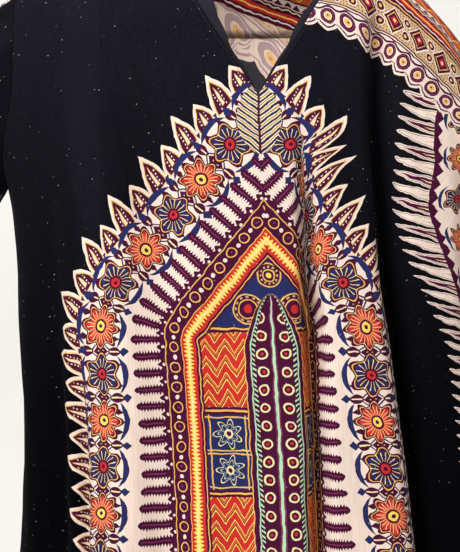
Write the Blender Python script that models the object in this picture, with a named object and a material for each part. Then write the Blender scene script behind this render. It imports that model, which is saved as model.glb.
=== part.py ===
"""A knee-length dashiki dress as it hangs from its shoulders: front, back, two sleeves and the neck facings.

Units are metres. +Z is up, the front faces -Y and +X is on the right of someone who looks at the front.
The origin is midway between the two neck points, where the shoulders carry the dress.
"""

import math

import bmesh
import bpy
import numpy as np

# Cloth
WALL = 0.0015
SEAM_GAP = 0.0003
FACING_WALL = 0.0010

# Neck
NECK_Z = 0.012
V_TIP_Z = -0.172
V_SLOPE = 0.65
V_BEND = 0.20
BACK_NECK_ANGLE = 41.4

# Shoulder line, by side: how far out the armhole starts, its slope by the neck and how fast that steepens
SHOULDER = {
    "left": {"end": 0.285, "slope": 0.12, "bend": 0.6},
    "right": {"end": 0.245, "slope": 0.15, "bend": 4.2},
}
SHOULDER_ROUND = 0.10
ARMHOLE_POWER = 2.5

# Body
CHEST_Z = -0.200
UNDERARM_Z = -0.285
UNDERARM_TILT = -0.055
HEM_Z = -0.980
OVAL_POWER = 0.85
SEAM_FADE_START = 72.0

# The body's outline at each height: half width, depth of the front and the back, and sideways sway
SECTION_COLUMNS = ("z", "half_width", "front", "back", "sway")
SECTIONS = (
    (0.012, 0.320, 0.102, 0.098, 0.000),
    (-0.100, 0.322, 0.113, 0.102, 0.000),
    (CHEST_Z, 0.315, 0.124, 0.102, 0.001),
    (-0.300, 0.301, 0.126, 0.100, 0.007),
    (-0.450, 0.301, 0.124, 0.101, 0.017),
    (-0.620, 0.308, 0.129, 0.112, 0.027),
    (-0.800, 0.322, 0.144, 0.130, 0.032),
    (-0.980, 0.342, 0.160, 0.150, 0.035),
)

# Folds: distance from the centre line, half width and depth, each at the chest and at the hem;
# the heights where a fold starts and where it is at full depth. A negative depth is a ridge.
# Each fold comes in softly over the onset's height.
FOLD_ONSET = 0.12
FOLD_COLUMNS = ("at_top", "at_hem", "wide_top", "wide_hem", "deep_top", "deep_hem", "start", "full")
FRONT_FOLDS = (
    (0.048, 0.036, 0.0080, 0.0105, 0.012, 0.044, -0.175, -0.420),
    (0.139, 0.185, 0.0120, 0.0200, 0.030, 0.052, -0.040, -0.340),
    (0.100, 0.085, 0.0250, 0.0350, -0.004, 0.012, -0.300, -0.900),
    (0.245, 0.275, 0.0220, 0.0300, 0.010, 0.034, -0.200, -0.800),
    (-0.055, -0.060, 0.0300, 0.0300, 0.003, 0.014, -0.300, -0.900),
    (-0.120, -0.130, 0.0240, 0.0300, 0.006, 0.024, -0.120, -0.850),
    (-0.170, -0.180, 0.0200, 0.0260, -0.006, -0.010, -0.060, -0.400),
    (-0.225, -0.241, 0.0070, 0.0120, 0.000, 0.022, -0.360, -0.700),
    (-0.262, -0.290, 0.0200, 0.0260, 0.009, 0.030, -0.120, -0.800),
)
BACK_FOLDS = (
    (-0.240, -0.265, 0.0220, 0.0280, 0.010, 0.034, -0.200, -0.800),
    (-0.150, -0.165, 0.0200, 0.0240, 0.012, 0.030, -0.120, -0.700),
    (-0.095, -0.105, 0.0220, 0.0280, -0.004, -0.008, -0.200, -0.600),
    (-0.035, -0.040, 0.0180, 0.0230, 0.006, 0.026, -0.200, -0.800),
    (0.070, 0.075, 0.0220, 0.0260, 0.008, 0.030, -0.160, -0.750),
    (0.155, 0.170, 0.0180, 0.0240, 0.016, 0.036, -0.080, -0.600),
    (0.245, 0.265, 0.0220, 0.0280, 0.010, 0.032, -0.240, -0.800),
)

# Sleeves, by side: length along the top, its fall below the horizontal and the lean of the cuff
SLEEVES = {
    "left": {"length": 0.200, "fall": 40.0, "cuff_lean": 16.0},
    "right": {"length": 0.200, "fall": 52.0, "cuff_lean": -4.0},
}
CUFF_HALF_HEIGHT = 0.108
CUFF_HALF_DEPTH = 0.050
CUFF_FOLDS = 5
CUFF_FOLD_DEPTH = 0.007
ARMHOLE_GAP = 1.5 * SEAM_GAP

# How evenly a sleeve's rings are spaced, from 0, closer at both ends, to 1, and how far it bows outwards
RING_EVENNESS = 0.65
SLEEVE_BOW = 0.05

# How finely each piece is divided
CAP_ANGLES_FRONT = (0.0, 14.0, 28.0, 41.0, 53.0, 65.0, 77.0, 90.0)
CAP_ANGLES_BACK = (0.0, 16.0, 29.0, 37.5, BACK_NECK_ANGLE, 58.0, 74.0, 90.0)
ROWS_TO_V_TIP = 4
ROWS_TO_UNDERARM = 3
ROWS_TO_HEM = 9
COLUMNS = {"front_left": 22, "front_right": 28, "back_left": 19, "back_right": 19}
SLEEVE_RINGS = 6
DENSE_STEPS = 400

# How often a row's height and its distance out, which depend on each other, are worked out in turn
EDGE_PASSES = 12
HEIGHT_PASSES = 8

# Facings: the columns nearest a panel's neck edge, and how many columns and rows a facing reaches over
EDGE_COLUMNS = (0.012, 0.030)
FACING_COLUMNS = {"front": 2, "back": 7}
FACING_ROWS = {"front": len(CAP_ANGLES_FRONT) + ROWS_TO_V_TIP, "back": len(CAP_ANGLES_BACK) - 2}


def section(z, name):
    """One column of the section table at the heights z, on a smooth curve."""
    table = np.array(SECTIONS)[::-1]
    heights = table[:, 0]
    values = table[:, SECTION_COLUMNS.index(name)]
    slopes = np.gradient(values, heights)
    z = np.clip(z, heights[0], heights[-1])
    low = np.clip(np.searchsorted(heights, z, side="right") - 1, 0, len(heights) - 2)
    span = heights[low + 1] - heights[low]
    t = (z - heights[low]) / span
    return (
        (2 * t**3 - 3 * t**2 + 1) * values[low]
        + (t**3 - 2 * t**2 + t) * span * slopes[low]
        + (3 * t**2 - 2 * t**3) * values[low + 1]
        + (t**3 - t**2) * span * slopes[low + 1]
    )


def ease(t):
    """A smooth step from 0 to 1."""
    t = np.clip(t, 0.0, 1.0)
    return t * t * (3 - 2 * t)


def v_edge(z):
    """Half the width of the neck's V at height z."""
    rise = np.maximum(z - V_TIP_Z, 0.0)
    return V_SLOPE * rise / (1 + (rise / V_BEND) ** 4) ** 0.25


NECK_HALF = float(v_edge(np.array(NECK_Z)))


def shoulder_z(side, x):
    """Height of the shoulder line at a distance x from the centre."""
    out = np.maximum(np.abs(x) - NECK_HALF, 0.0)
    return NECK_Z - SHOULDER[side]["slope"] * out - SHOULDER[side]["bend"] * out**2


def underarm_z(signed_x):
    return UNDERARM_Z + UNDERARM_TILT * signed_x


def rows_of(panel):
    """Each row of a panel as its zone and place in that zone, from the shoulder seam to the hem."""
    angles = CAP_ANGLES_FRONT if panel == "front" else CAP_ANGLES_BACK
    rows = [("cap", a) for a in angles]
    top = NECK_Z - SHOULDER_ROUND
    tip = (top - V_TIP_Z) / (top - UNDERARM_Z)
    if panel == "front":
        rows += [("arm", tip * k / ROWS_TO_V_TIP) for k in range(1, ROWS_TO_V_TIP + 1)]
        rows += [
            ("arm", tip + (1 - tip) * k / ROWS_TO_UNDERARM) for k in range(1, ROWS_TO_UNDERARM + 1)
        ]
    else:
        steps = ROWS_TO_V_TIP + ROWS_TO_UNDERARM
        rows += [("arm", k / steps) for k in range(1, steps + 1)]
    rows += [("skirt", k / ROWS_TO_HEM) for k in range(1, ROWS_TO_HEM + 1)]
    return rows


def first_closed_row(panel):
    """The row where the two halves of a panel start to share the centre line."""
    if panel == "front":
        return len(CAP_ANGLES_FRONT) - 1 + ROWS_TO_V_TIP
    return CAP_ANGLES_BACK.index(BACK_NECK_ANGLE)


def row_height(side, zone, place, x):
    """Height of a row at a distance x from the centre."""
    sign = 1 if side == "right" else -1
    top = shoulder_z(side, x)
    if zone == "cap":
        return top - SHOULDER_ROUND * (1 - math.cos(math.radians(place)))
    if zone == "arm":
        return (top - SHOULDER_ROUND) * (1 - place) + underarm_z(sign * x) * place
    return underarm_z(sign * x) * (1 - place) + HEM_Z * place


def oval_angle(side, zone, place, x):
    """The angle on the oval, from the middle of the panel, of a distance x from the centre."""
    widest = section(np.atleast_1d(row_height(side, zone, place, x)), "half_width")[0]
    return math.asin(min(1.0, x / widest))


def row_limits(panel, side, zone, place):
    """Where a row starts, as a distance from the centre, and the angle on the oval where it ends."""
    inner = NECK_HALF
    if panel == "front":
        for _ in range(EDGE_PASSES):
            inner = float(v_edge(row_height(side, zone, place, inner)))
    elif zone == "cap" and place < BACK_NECK_ANGLE:
        inner = NECK_HALF * math.sqrt(1 - (place / BACK_NECK_ANGLE) ** 2)
    else:
        inner = 0.0
    end = SHOULDER[side]["end"]
    at_armhole = oval_angle(side, zone, place, end)
    if zone == "arm":
        return inner, at_armhole + (math.pi / 2 - at_armhole) * place**ARMHOLE_POWER
    return inner, at_armhole if zone == "cap" else math.pi / 2


def fold_depth(panel, signed_s, z):
    """How far the cloth is pushed in by its folds."""
    total = np.zeros_like(z)
    for values in FRONT_FOLDS if panel == "front" else BACK_FOLDS:
        fold = dict(zip(FOLD_COLUMNS, values))
        down = ease((CHEST_Z - z) / (CHEST_Z - HEM_Z))
        at = fold["at_top"] + (fold["at_hem"] - fold["at_top"]) * down
        wide = fold["wide_top"] + (fold["wide_hem"] - fold["wide_top"]) * down
        grown = ease((fold["start"] - z) / (fold["start"] - fold["full"]))
        deep = fold["deep_top"] + (fold["deep_hem"] - fold["deep_top"]) * grown
        begun = ease((fold["start"] - z) / FOLD_ONSET)
        total += deep * begun * np.exp(-(((signed_s - at) / wide) ** 2))
    return total


def row_curve(panel, side, zone, place):
    """One row as a fine line of points, from the neck or centre to the armhole or side seam."""
    sign = 1 if side == "right" else -1
    face = -1 if panel == "front" else 1
    inner, stop = row_limits(panel, side, zone, place)
    start = oval_angle(side, zone, place, inner)
    theta = np.linspace(0.0, stop, DENSE_STEPS)
    x = np.sin(theta) * SECTIONS[0][1]
    for _ in range(HEIGHT_PASSES):
        z = row_height(side, zone, place, x)
        x = section(z, "half_width") * np.sin(theta)
    cap = math.sin(math.radians(place)) if zone == "cap" else 1.0
    depth = section(z, panel)
    y = depth * np.cos(theta) ** OVAL_POWER * cap
    base = np.stack([x, y], axis=1)
    s = np.concatenate([[0.0], np.cumsum(np.linalg.norm(np.diff(base, axis=0), axis=1))])
    push = fold_depth(panel, sign * s, z) * cap**2
    push *= 1 - ease((np.degrees(theta) - SEAM_FADE_START) / (90.0 - SEAM_FADE_START))
    normal = np.stack([np.sin(theta) / section(z, "half_width"), np.cos(theta) / depth], axis=1)
    normal /= np.linalg.norm(normal, axis=1)[:, None]
    x = x - push * normal[:, 0]
    y = np.maximum(y - push * normal[:, 1], SEAM_GAP / 2)
    points = np.stack([sign * x + section(z, "sway"), face * y, z + 0 * x], axis=1)
    keep = theta >= start
    return points[keep]


def spread(points, count, edge_columns):
    """Points along a line: its start, a few at stated distances for the facing, then evenly spaced."""
    along = np.concatenate(
        [[0.0], np.cumsum(np.linalg.norm(np.diff(points, axis=0), axis=1))]
    )
    rest = np.linspace(edge_columns[-1], along[-1], count - len(edge_columns) + 1)
    places = np.concatenate([[0.0], edge_columns[:-1], rest])
    return np.stack([np.interp(places, along, points[:, k]) for k in range(3)], axis=1)


def panel_grid(panel, side):
    """A half panel as rows of points, from the shoulder seam to the hem."""
    count = COLUMNS[f"{panel}_{side}"]
    return np.array(
        [
            spread(row_curve(panel, side, zone, place), count, EDGE_COLUMNS)
            for zone, place in rows_of(panel)
        ]
    )


def join_halves(left, right, closed_from):
    """The points of two half grids, which share their first column from a given row down."""
    points = []
    index = {}
    for name, grid in (("left", left), ("right", right)):
        for j, row in enumerate(grid):
            for i, point in enumerate(row):
                if name == "right" and i == 0 and j >= closed_from:
                    index[name, j, i] = index["left", j, 0]
                    continue
                index[name, j, i] = len(points)
                points.append(point)
    return np.array(points), index


def grid_faces(panel, index, rows, widths):
    """The four-sided faces of a panel, with their outer side towards the person who looks at it."""
    faces = []
    for name, width in widths.items():
        for j in rows[:-1]:
            for i in range(width - 1):
                corners = ((j, i), (j + 1, i), (j + 1, i + 1), (j, i + 1))
                quad = [index[name, a, b] for a, b in corners]
                outwards = (name == "right") == (panel == "front")
                faces.append(quad if outwards else quad[::-1])
    return faces


def point_normals(points, faces):
    """The average normal of the faces round each point."""
    normals = np.zeros_like(points)
    for face in faces:
        corners = points[face]
        normal = np.cross(corners[2] - corners[0], corners[3] - corners[1])
        for k in face:
            normals[k] += normal
    return normals / np.linalg.norm(normals, axis=1)[:, None]


def rim_edges(faces):
    """The edges that only one face uses, in that face's direction."""
    edges = {}
    for face in faces:
        for a, b in zip(face, face[1:] + face[:1]):
            edges[a, b] = True
    return [(a, b) for a, b in edges if (b, a) not in edges]


COTTON_ROUGHNESS = 0.85
BLACK_COTTON = (0.009, 0.008, 0.013)
FACING_COTTON = (0.020, 0.018, 0.024)


def wall_object(name, points, normals, faces, outer, inner, colour):
    """A closed wall between two offsets of a sheet, measured inwards along its normals."""
    count = len(points)
    vertices = np.concatenate([points - normals * outer, points - normals * inner])
    solid = [list(face) for face in faces]
    solid += [[k + count for k in face[:1] + face[:0:-1]] for face in faces]
    solid += [[b, a, a + count, b + count] for a, b in rim_edges(faces)]
    mesh = bpy.data.meshes.new(name)
    mesh.from_pydata([tuple(v) for v in vertices], [], solid)
    build = bmesh.new()
    build.from_mesh(mesh)
    bmesh.ops.recalc_face_normals(build, faces=build.faces)
    bmesh.ops.triangulate(build, faces=build.faces, quad_method="FIXED")
    build.to_mesh(mesh)
    build.free()
    mesh.shade_smooth()
    thing = bpy.data.objects.new(name, mesh)
    bpy.context.scene.collection.objects.link(thing)
    thing.data.materials.append(cloth_material(name, colour))
    return thing


def cloth_material(name, colour):
    material = bpy.data.materials.new(f"{name}_cotton")
    material.use_nodes = True
    shader = material.node_tree.nodes["Principled BSDF"]
    shader.inputs["Base Color"].default_value = (*colour, 1.0)
    shader.inputs["Roughness"].default_value = COTTON_ROUGHNESS
    shader.inputs["Metallic"].default_value = 0.0
    return material


def flatten_seams(points, normals, index, rows, widths):
    """Turns the wall square to the shoulder and side seams, which both lie in the plane y = 0."""
    skirt = rows - ROWS_TO_HEM - 1
    for name, width in widths.items():
        on_seam = [index[name, 0, i] for i in range(width)]
        on_seam += [index[name, j, width - 1] for j in range(skirt, rows)]
        for k in on_seam:
            points[k][1] = math.copysign(SEAM_GAP / 2, points[k][1])
            normals[k][1] = 0.0
            normals[k] /= np.linalg.norm(normals[k])


def body_panel(panel):
    """Builds the front or the back, and gives what the sleeves and the facing are made from."""
    left = panel_grid(panel, "left")
    right = panel_grid(panel, "right")
    points, index = join_halves(left, right, first_closed_row(panel))
    rows = left.shape[0]
    widths = {"left": left.shape[1], "right": right.shape[1]}
    faces = grid_faces(panel, index, range(rows), widths)
    normals = point_normals(points, faces)
    flatten_seams(points, normals, index, rows, widths)
    wall_object(panel, points, normals, faces, 0.0, WALL, BLACK_COTTON)
    return {"panel": panel, "points": points, "normals": normals, "index": index, "widths": widths}


def facing(body):
    """The lining piece turned in under the neck edge, made from the panel's own points."""
    panel = body["panel"]
    rows = range(1, FACING_ROWS[panel] + 1)
    widths = {name: FACING_COLUMNS[panel] + 1 for name in body["widths"]}
    faces = grid_faces(panel, body["index"], rows, widths)
    used = sorted({k for face in faces for k in face})
    new_place = {old: new for new, old in enumerate(used)}
    faces = [[new_place[k] for k in face] for face in faces]
    outer = WALL + SEAM_GAP
    wall_object(
        f"neck_facing_{panel}",
        body["points"][used],
        body["normals"][used],
        faces,
        outer,
        outer + FACING_WALL,
        FACING_COTTON,
    )


def armhole_loop(front, back, side):
    """The armhole edge of both panels: from the shoulder down the front, and up the back."""
    rows = len(rows_of("front")) - ROWS_TO_HEM
    loop_points, loop_normals, tangents = [], [], []
    for body, order in ((front, range(rows)), (back, range(rows - 2, 0, -1))):
        last = body["widths"][side] - 1
        for j in order:
            edge = body["index"][side, j, last]
            before = body["index"][side, j, last - 1]
            outwards = body["points"][edge] - body["points"][before]
            loop_points.append(body["points"][edge].copy())
            loop_normals.append(body["normals"][edge].copy())
            tangents.append(outwards / np.linalg.norm(outwards))
    points, normals, tangents = map(np.array, (loop_points, loop_normals, tangents))
    for k in (0, rows - 1):
        points[k][1] = 0.0
        tangents[k][1] = 0.0
        tangents[k] /= np.linalg.norm(tangents[k])
    tangents[rows - 1] = (0.0, 0.0, -1.0)
    return points, normals, tangents


def sleeve(front, back, side):
    """A wide short sleeve, from the armhole loop to its cuff."""
    sign = 1 if side == "right" else -1
    size = SLEEVES[side]
    ring, ring_normals, tangents = armhole_loop(front, back, side)
    count = len(ring)
    half = len(rows_of("front")) - ROWS_TO_HEM - 1
    lengths = np.linalg.norm(np.diff(np.vstack([ring, ring[:1]]), axis=0), axis=1)
    along = np.concatenate([[0.0], np.cumsum(lengths)[:-1]])
    down = along[half]
    total = lengths.sum()
    turn = np.where(along <= down, math.pi * along / down, math.pi * (1 + (along - down) / (total - down)))
    fall = math.radians(size["fall"])
    lean = math.radians(size["cuff_lean"])
    top = ring[0] + size["length"] * np.array([sign * math.cos(fall), 0.0, -math.sin(fall)])
    up = np.array([sign * math.sin(lean), 0.0, math.cos(lean)])
    across = np.array([0.0, -1.0, 0.0])
    centre = top - up * CUFF_HALF_HEIGHT
    ripple = CUFF_FOLD_DEPTH * np.sin(CUFF_FOLDS * turn) * np.sin(turn) ** 2
    cuff = (
        centre
        + up * (CUFF_HALF_HEIGHT * np.cos(turn))[:, None]
        + across * ((CUFF_HALF_DEPTH + ripple) * np.sin(turn))[:, None]
    )
    start = ring + tangents * ARMHOLE_GAP
    grid = []
    for k in range(SLEEVE_RINGS + 1):
        t = k / SLEEVE_RINGS
        near = (1 - RING_EVENNESS) * ease(t) + RING_EVENNESS * t
        away = tangents * SLEEVE_BOW * t * (1 - t) ** 2
        grid.append(start * (1 - near) + cuff * near + away)
    points = np.vstack(grid)
    faces = []
    for k in range(SLEEVE_RINGS):
        for i in range(count):
            n = (i + 1) % count
            quad = [k * count + i, (k + 1) * count + i, (k + 1) * count + n, k * count + n]
            faces.append(quad if side == "left" else quad[::-1])
    normals = point_normals(points, faces)
    if np.mean(np.sum(normals[:count] * ring_normals, axis=1)) < 0:
        faces = [face[::-1] for face in faces]
        normals = -normals
    normals[:count] = ring_normals
    wall_object(f"sleeve_{side}", points, normals, faces, 0.0, WALL, BLACK_COTTON)


def clear_scene():
    for thing in list(bpy.data.objects):
        bpy.data.objects.remove(thing)


def main():
    clear_scene()
    front = body_panel("front")
    back = body_panel("back")
    facing(front)
    facing(back)
    sleeve(front, back, "left")
    sleeve(front, back, "right")


main()
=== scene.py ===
# %% [markdown]
# # A dashiki dress in printed black cotton
#
# A dashiki dress is cut from one length of printed cotton: a front, a back and two wide sleeves, with a V
# neck that is finished by facings turned to the inside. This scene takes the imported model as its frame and
# puts finer cloth in place of each of its plain walls. The cloth follows the same rules as the model, so
# every fold is in the same place.

# %% Load the frame
import ast
import math

import bpy
import numpy as np
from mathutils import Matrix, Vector, noise


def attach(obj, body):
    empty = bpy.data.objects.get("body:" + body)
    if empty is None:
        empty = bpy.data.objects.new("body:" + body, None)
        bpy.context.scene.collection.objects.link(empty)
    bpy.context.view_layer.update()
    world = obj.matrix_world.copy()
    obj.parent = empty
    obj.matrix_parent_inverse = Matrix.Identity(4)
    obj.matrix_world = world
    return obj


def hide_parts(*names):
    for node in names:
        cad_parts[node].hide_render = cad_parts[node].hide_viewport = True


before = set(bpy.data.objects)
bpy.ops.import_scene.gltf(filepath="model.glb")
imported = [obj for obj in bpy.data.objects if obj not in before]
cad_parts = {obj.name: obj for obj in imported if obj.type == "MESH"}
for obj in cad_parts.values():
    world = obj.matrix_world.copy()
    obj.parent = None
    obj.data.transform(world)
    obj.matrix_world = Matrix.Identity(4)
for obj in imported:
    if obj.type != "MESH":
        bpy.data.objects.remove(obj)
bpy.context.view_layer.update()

# %% [markdown]
# ## The shape of the cloth
#
# Hanging cloth could be simulated, but a dress that is seen close up has folds in known places, and a
# simulation puts them where it likes. Here the body is an oval at each height, folds are grooves pushed into
# that oval, and the shoulders round over from front to back. All sizes are in metres.

# %% The sizes that the model was cut to
SIDE_SIGN = {"left": -1, "right": 1}
SEAM_GAP = 0.0003
NECK_Z = 0.012
V_TIP_Z = -0.172
V_SLOPE = 0.65
V_BEND = 0.20
BACK_NECK_ANGLE = 41.4
SHOULDER = {
    "left": {"end": 0.285, "slope": 0.12, "bend": 0.6},
    "right": {"end": 0.245, "slope": 0.15, "bend": 4.2},
}
SHOULDER_ROUND = 0.10
ARMHOLE_POWER = 2.5
CHEST_Z = -0.200
UNDERARM_Z = -0.285
UNDERARM_TILT = -0.055
HEM_Z = -0.980
OVAL_POWER = 0.85
SEAM_FADE_START = 72.0

SECTION_COLUMNS = ("z", "half_width", "front", "back", "sway")
SECTIONS = (
    (0.012, 0.320, 0.102, 0.098, 0.000),
    (-0.100, 0.322, 0.113, 0.102, 0.000),
    (CHEST_Z, 0.315, 0.124, 0.102, 0.001),
    (-0.300, 0.301, 0.126, 0.100, 0.007),
    (-0.450, 0.301, 0.124, 0.101, 0.017),
    (-0.620, 0.308, 0.129, 0.112, 0.027),
    (-0.800, 0.322, 0.144, 0.130, 0.032),
    (-0.980, 0.342, 0.160, 0.150, 0.035),
)
FOLD_COLUMNS = ("at_top", "at_hem", "wide_top", "wide_hem", "deep_top", "deep_hem", "start", "full")
FOLD_ONSET = 0.12
FRONT_FOLDS = (
    (0.048, 0.036, 0.0080, 0.0105, 0.012, 0.044, -0.175, -0.420),
    (0.139, 0.185, 0.0120, 0.0200, 0.030, 0.052, -0.040, -0.340),
    (0.100, 0.085, 0.0250, 0.0350, -0.004, 0.012, -0.300, -0.900),
    (0.245, 0.275, 0.0220, 0.0300, 0.010, 0.034, -0.200, -0.800),
    (-0.055, -0.060, 0.0300, 0.0300, 0.003, 0.014, -0.300, -0.900),
    (-0.120, -0.130, 0.0240, 0.0300, 0.006, 0.024, -0.120, -0.850),
    (-0.170, -0.180, 0.0200, 0.0260, -0.006, -0.010, -0.060, -0.400),
    (-0.225, -0.241, 0.0070, 0.0120, 0.000, 0.022, -0.360, -0.700),
    (-0.262, -0.290, 0.0200, 0.0260, 0.009, 0.030, -0.120, -0.800),
)
BACK_FOLDS = (
    (-0.240, -0.265, 0.0220, 0.0280, 0.010, 0.034, -0.200, -0.800),
    (-0.150, -0.165, 0.0200, 0.0240, 0.012, 0.030, -0.120, -0.700),
    (-0.095, -0.105, 0.0220, 0.0280, -0.004, -0.008, -0.200, -0.600),
    (-0.035, -0.040, 0.0180, 0.0230, 0.006, 0.026, -0.200, -0.800),
    (0.070, 0.075, 0.0220, 0.0260, 0.008, 0.030, -0.160, -0.750),
    (0.155, 0.170, 0.0180, 0.0240, 0.016, 0.036, -0.080, -0.600),
    (0.245, 0.265, 0.0220, 0.0280, 0.010, 0.032, -0.240, -0.800),
)
SLEEVES = {
    "left": {"length": 0.200, "fall": 40.0, "cuff_lean": 16.0},
    "right": {"length": 0.200, "fall": 52.0, "cuff_lean": -4.0},
}
CUFF_HALF_HEIGHT = 0.108
CUFF_HALF_DEPTH = 0.050
CUFF_FOLDS = 5
CUFF_FOLD_DEPTH = 0.007
ARMHOLE_GAP = 1.5 * SEAM_GAP
RING_EVENNESS = 0.65
SLEEVE_BOW = 0.05


# %% The oval at each height, the neck and the shoulder line
def section(z, name):
    """One column of the section table at the heights z, on a smooth curve."""
    table = np.array(SECTIONS)[::-1]
    heights = table[:, 0]
    values = table[:, SECTION_COLUMNS.index(name)]
    slopes = np.gradient(values, heights)
    z = np.clip(z, heights[0], heights[-1])
    low = np.clip(np.searchsorted(heights, z, side="right") - 1, 0, len(heights) - 2)
    span = heights[low + 1] - heights[low]
    t = (z - heights[low]) / span
    return (
        (2 * t**3 - 3 * t**2 + 1) * values[low]
        + (t**3 - 2 * t**2 + t) * span * slopes[low]
        + (3 * t**2 - 2 * t**3) * values[low + 1]
        + (t**3 - t**2) * span * slopes[low + 1]
    )


def ease(t):
    """A smooth step from 0 to 1."""
    t = np.clip(t, 0.0, 1.0)
    return t * t * (3 - 2 * t)


def v_edge(z):
    """Half the width of the neck's V at height z."""
    rise = np.maximum(z - V_TIP_Z, 0.0)
    return V_SLOPE * rise / (1 + (rise / V_BEND) ** 4) ** 0.25


NECK_HALF = float(v_edge(np.array(NECK_Z)))


def shoulder_z(side, x):
    """Height of the shoulder line at a distance x from the centre."""
    out = np.maximum(np.abs(x) - NECK_HALF, 0.0)
    return NECK_Z - SHOULDER[side]["slope"] * out - SHOULDER[side]["bend"] * out**2


def underarm_z(signed_x):
    return UNDERARM_Z + UNDERARM_TILT * signed_x


print("neck opening:", round(2000 * NECK_HALF), "mm wide")

# %% [markdown]
# Each panel is a grid. Its rows run from the neck or the centre line out to the armhole or the side seam, and
# they are packed closer where the cloth turns over the shoulder. The front and the back use the same number
# of rows down to the underarm, so that a sleeve can pick up its ring of points from both.

# %% The rows of a panel
CAP_ROWS = 20
NECK_ROWS = 12
ROWS_TO_V_TIP = 16
ROWS_TO_UNDERARM = 24
ROWS_TO_HEM = 112
COLUMNS = {"front_left": 88, "front_right": 116, "back_left": 84, "back_right": 84}


def rows_of(panel):
    """Each row of a panel as its zone and place in that zone, from the shoulder seam to the hem."""
    if panel == "front":
        angles = [90.0 * k / CAP_ROWS for k in range(CAP_ROWS + 1)]
    else:
        below = CAP_ROWS - NECK_ROWS
        angles = [BACK_NECK_ANGLE * math.sin(math.pi / 2 * k / NECK_ROWS) for k in range(NECK_ROWS + 1)]
        angles += [BACK_NECK_ANGLE + (90.0 - BACK_NECK_ANGLE) * k / below for k in range(1, below + 1)]
    top = NECK_Z - SHOULDER_ROUND
    tip = (top - V_TIP_Z) / (top - UNDERARM_Z)
    rows = [("cap", a) for a in angles]
    rows += [("arm", tip * k / ROWS_TO_V_TIP) for k in range(1, ROWS_TO_V_TIP + 1)]
    rows += [("arm", tip + (1 - tip) * k / ROWS_TO_UNDERARM) for k in range(1, ROWS_TO_UNDERARM + 1)]
    rows += [("skirt", k / ROWS_TO_HEM) for k in range(1, ROWS_TO_HEM + 1)]
    return rows


ARM_ROWS = CAP_ROWS + ROWS_TO_V_TIP + ROWS_TO_UNDERARM
EDGE_PASSES = 12
HEIGHT_PASSES = 8
FIRST_CLOSED_ROW = {"front": CAP_ROWS + ROWS_TO_V_TIP, "back": NECK_ROWS}


def row_height(side, zone, place, x):
    """Height of a row at a distance x from the centre."""
    sign = SIDE_SIGN[side]
    top = shoulder_z(side, x)
    if zone == "cap":
        return top - SHOULDER_ROUND * (1 - math.cos(math.radians(place)))
    if zone == "arm":
        return (top - SHOULDER_ROUND) * (1 - place) + underarm_z(sign * x) * place
    return underarm_z(sign * x) * (1 - place) + HEM_Z * place


def oval_angle(side, zone, place, x):
    """The angle on the oval, from the middle of the panel, of a distance x from the centre."""
    widest = section(np.atleast_1d(row_height(side, zone, place, x)), "half_width")[0]
    return math.asin(min(1.0, x / widest))


def row_limits(panel, side, zone, place):
    """Where a row starts, as a distance from the centre, and the angle on the oval where it ends."""
    inner = NECK_HALF
    if panel == "front":
        for _ in range(EDGE_PASSES):
            inner = float(v_edge(row_height(side, zone, place, inner)))
    elif zone == "cap" and place < BACK_NECK_ANGLE:
        inner = NECK_HALF * math.sqrt(1 - (place / BACK_NECK_ANGLE) ** 2)
    else:
        inner = 0.0
    end = SHOULDER[side]["end"]
    at_armhole = oval_angle(side, zone, place, end)
    if zone == "arm":
        return inner, at_armhole + (math.pi / 2 - at_armhole) * place**ARMHOLE_POWER
    return inner, at_armhole if zone == "cap" else math.pi / 2


# %% [markdown]
# The folds are what makes it cloth. A fold is a groove with a bell-shaped section that gets wider and deeper
# towards the hem. On top of the folds that the model has, the fine cloth gets the soft creases of cotton that
# has been folded away and hung up again: noise that is stretched along the threads that run down.

# %% The folds and the soft creases
CREASE_DEPTH = 0.0042
CREASE_WIDTH, CREASE_LENGTH, CREASE_LEAN = 0.030, 0.20, 0.25
FINE_SHARE, FINE_ACROSS, FINE_DOWN, FINE_SEED = 0.25, 2.7, 3.1, 7.3
CREASE_SEEDS = {"front": 0.0, "back": 5.0, "left": -11.0, "right": 11.0}
TUCK_COLUMNS = ("fold", "before", "hides", "start", "full")
TUCKS = ((0, 0.0, 0.037, -0.205, -0.260), (1, 0.7, 0.060, -0.080, -0.170))


def at_height(fold, name, z):
    """A fold's place or half width at the heights z, on its way from the chest to the hem."""
    down = ease((CHEST_Z - z) / (CHEST_Z - HEM_Z))
    return fold[f"{name}_top"] + (fold[f"{name}_hem"] - fold[f"{name}_top"]) * down


def fold_depth(panel, signed_s, z):
    """How far the cloth is pushed in by its folds."""
    total = np.zeros_like(z)
    for values in FRONT_FOLDS if panel == "front" else BACK_FOLDS:
        fold = dict(zip(FOLD_COLUMNS, values))
        grown = ease((fold["start"] - z) / (fold["start"] - fold["full"]))
        deep = fold["deep_top"] + (fold["deep_hem"] - fold["deep_top"]) * grown
        begun = ease((fold["start"] - z) / FOLD_ONSET)
        away = (signed_s - at_height(fold, "at", z)) / at_height(fold, "wide", z)
        total += deep * begun * np.exp(-(away**2))
    return total


def hidden_cloth(panel, signed_s, z):
    """How much printed cloth is tucked away in folds between a point and the centre line."""
    total = np.zeros_like(z)
    for values in TUCKS if panel == "front" else ():
        tuck = dict(zip(TUCK_COLUMNS, values))
        fold = dict(zip(FOLD_COLUMNS, FRONT_FOLDS[tuck["fold"]]))
        tucked = tuck["hides"] * ease((tuck["start"] - z) / (tuck["start"] - tuck["full"]))
        lies = at_height(fold, "at", z) - tuck["before"] * at_height(fold, "wide", z)
        total += tucked * (signed_s > lies)
    return total


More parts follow.
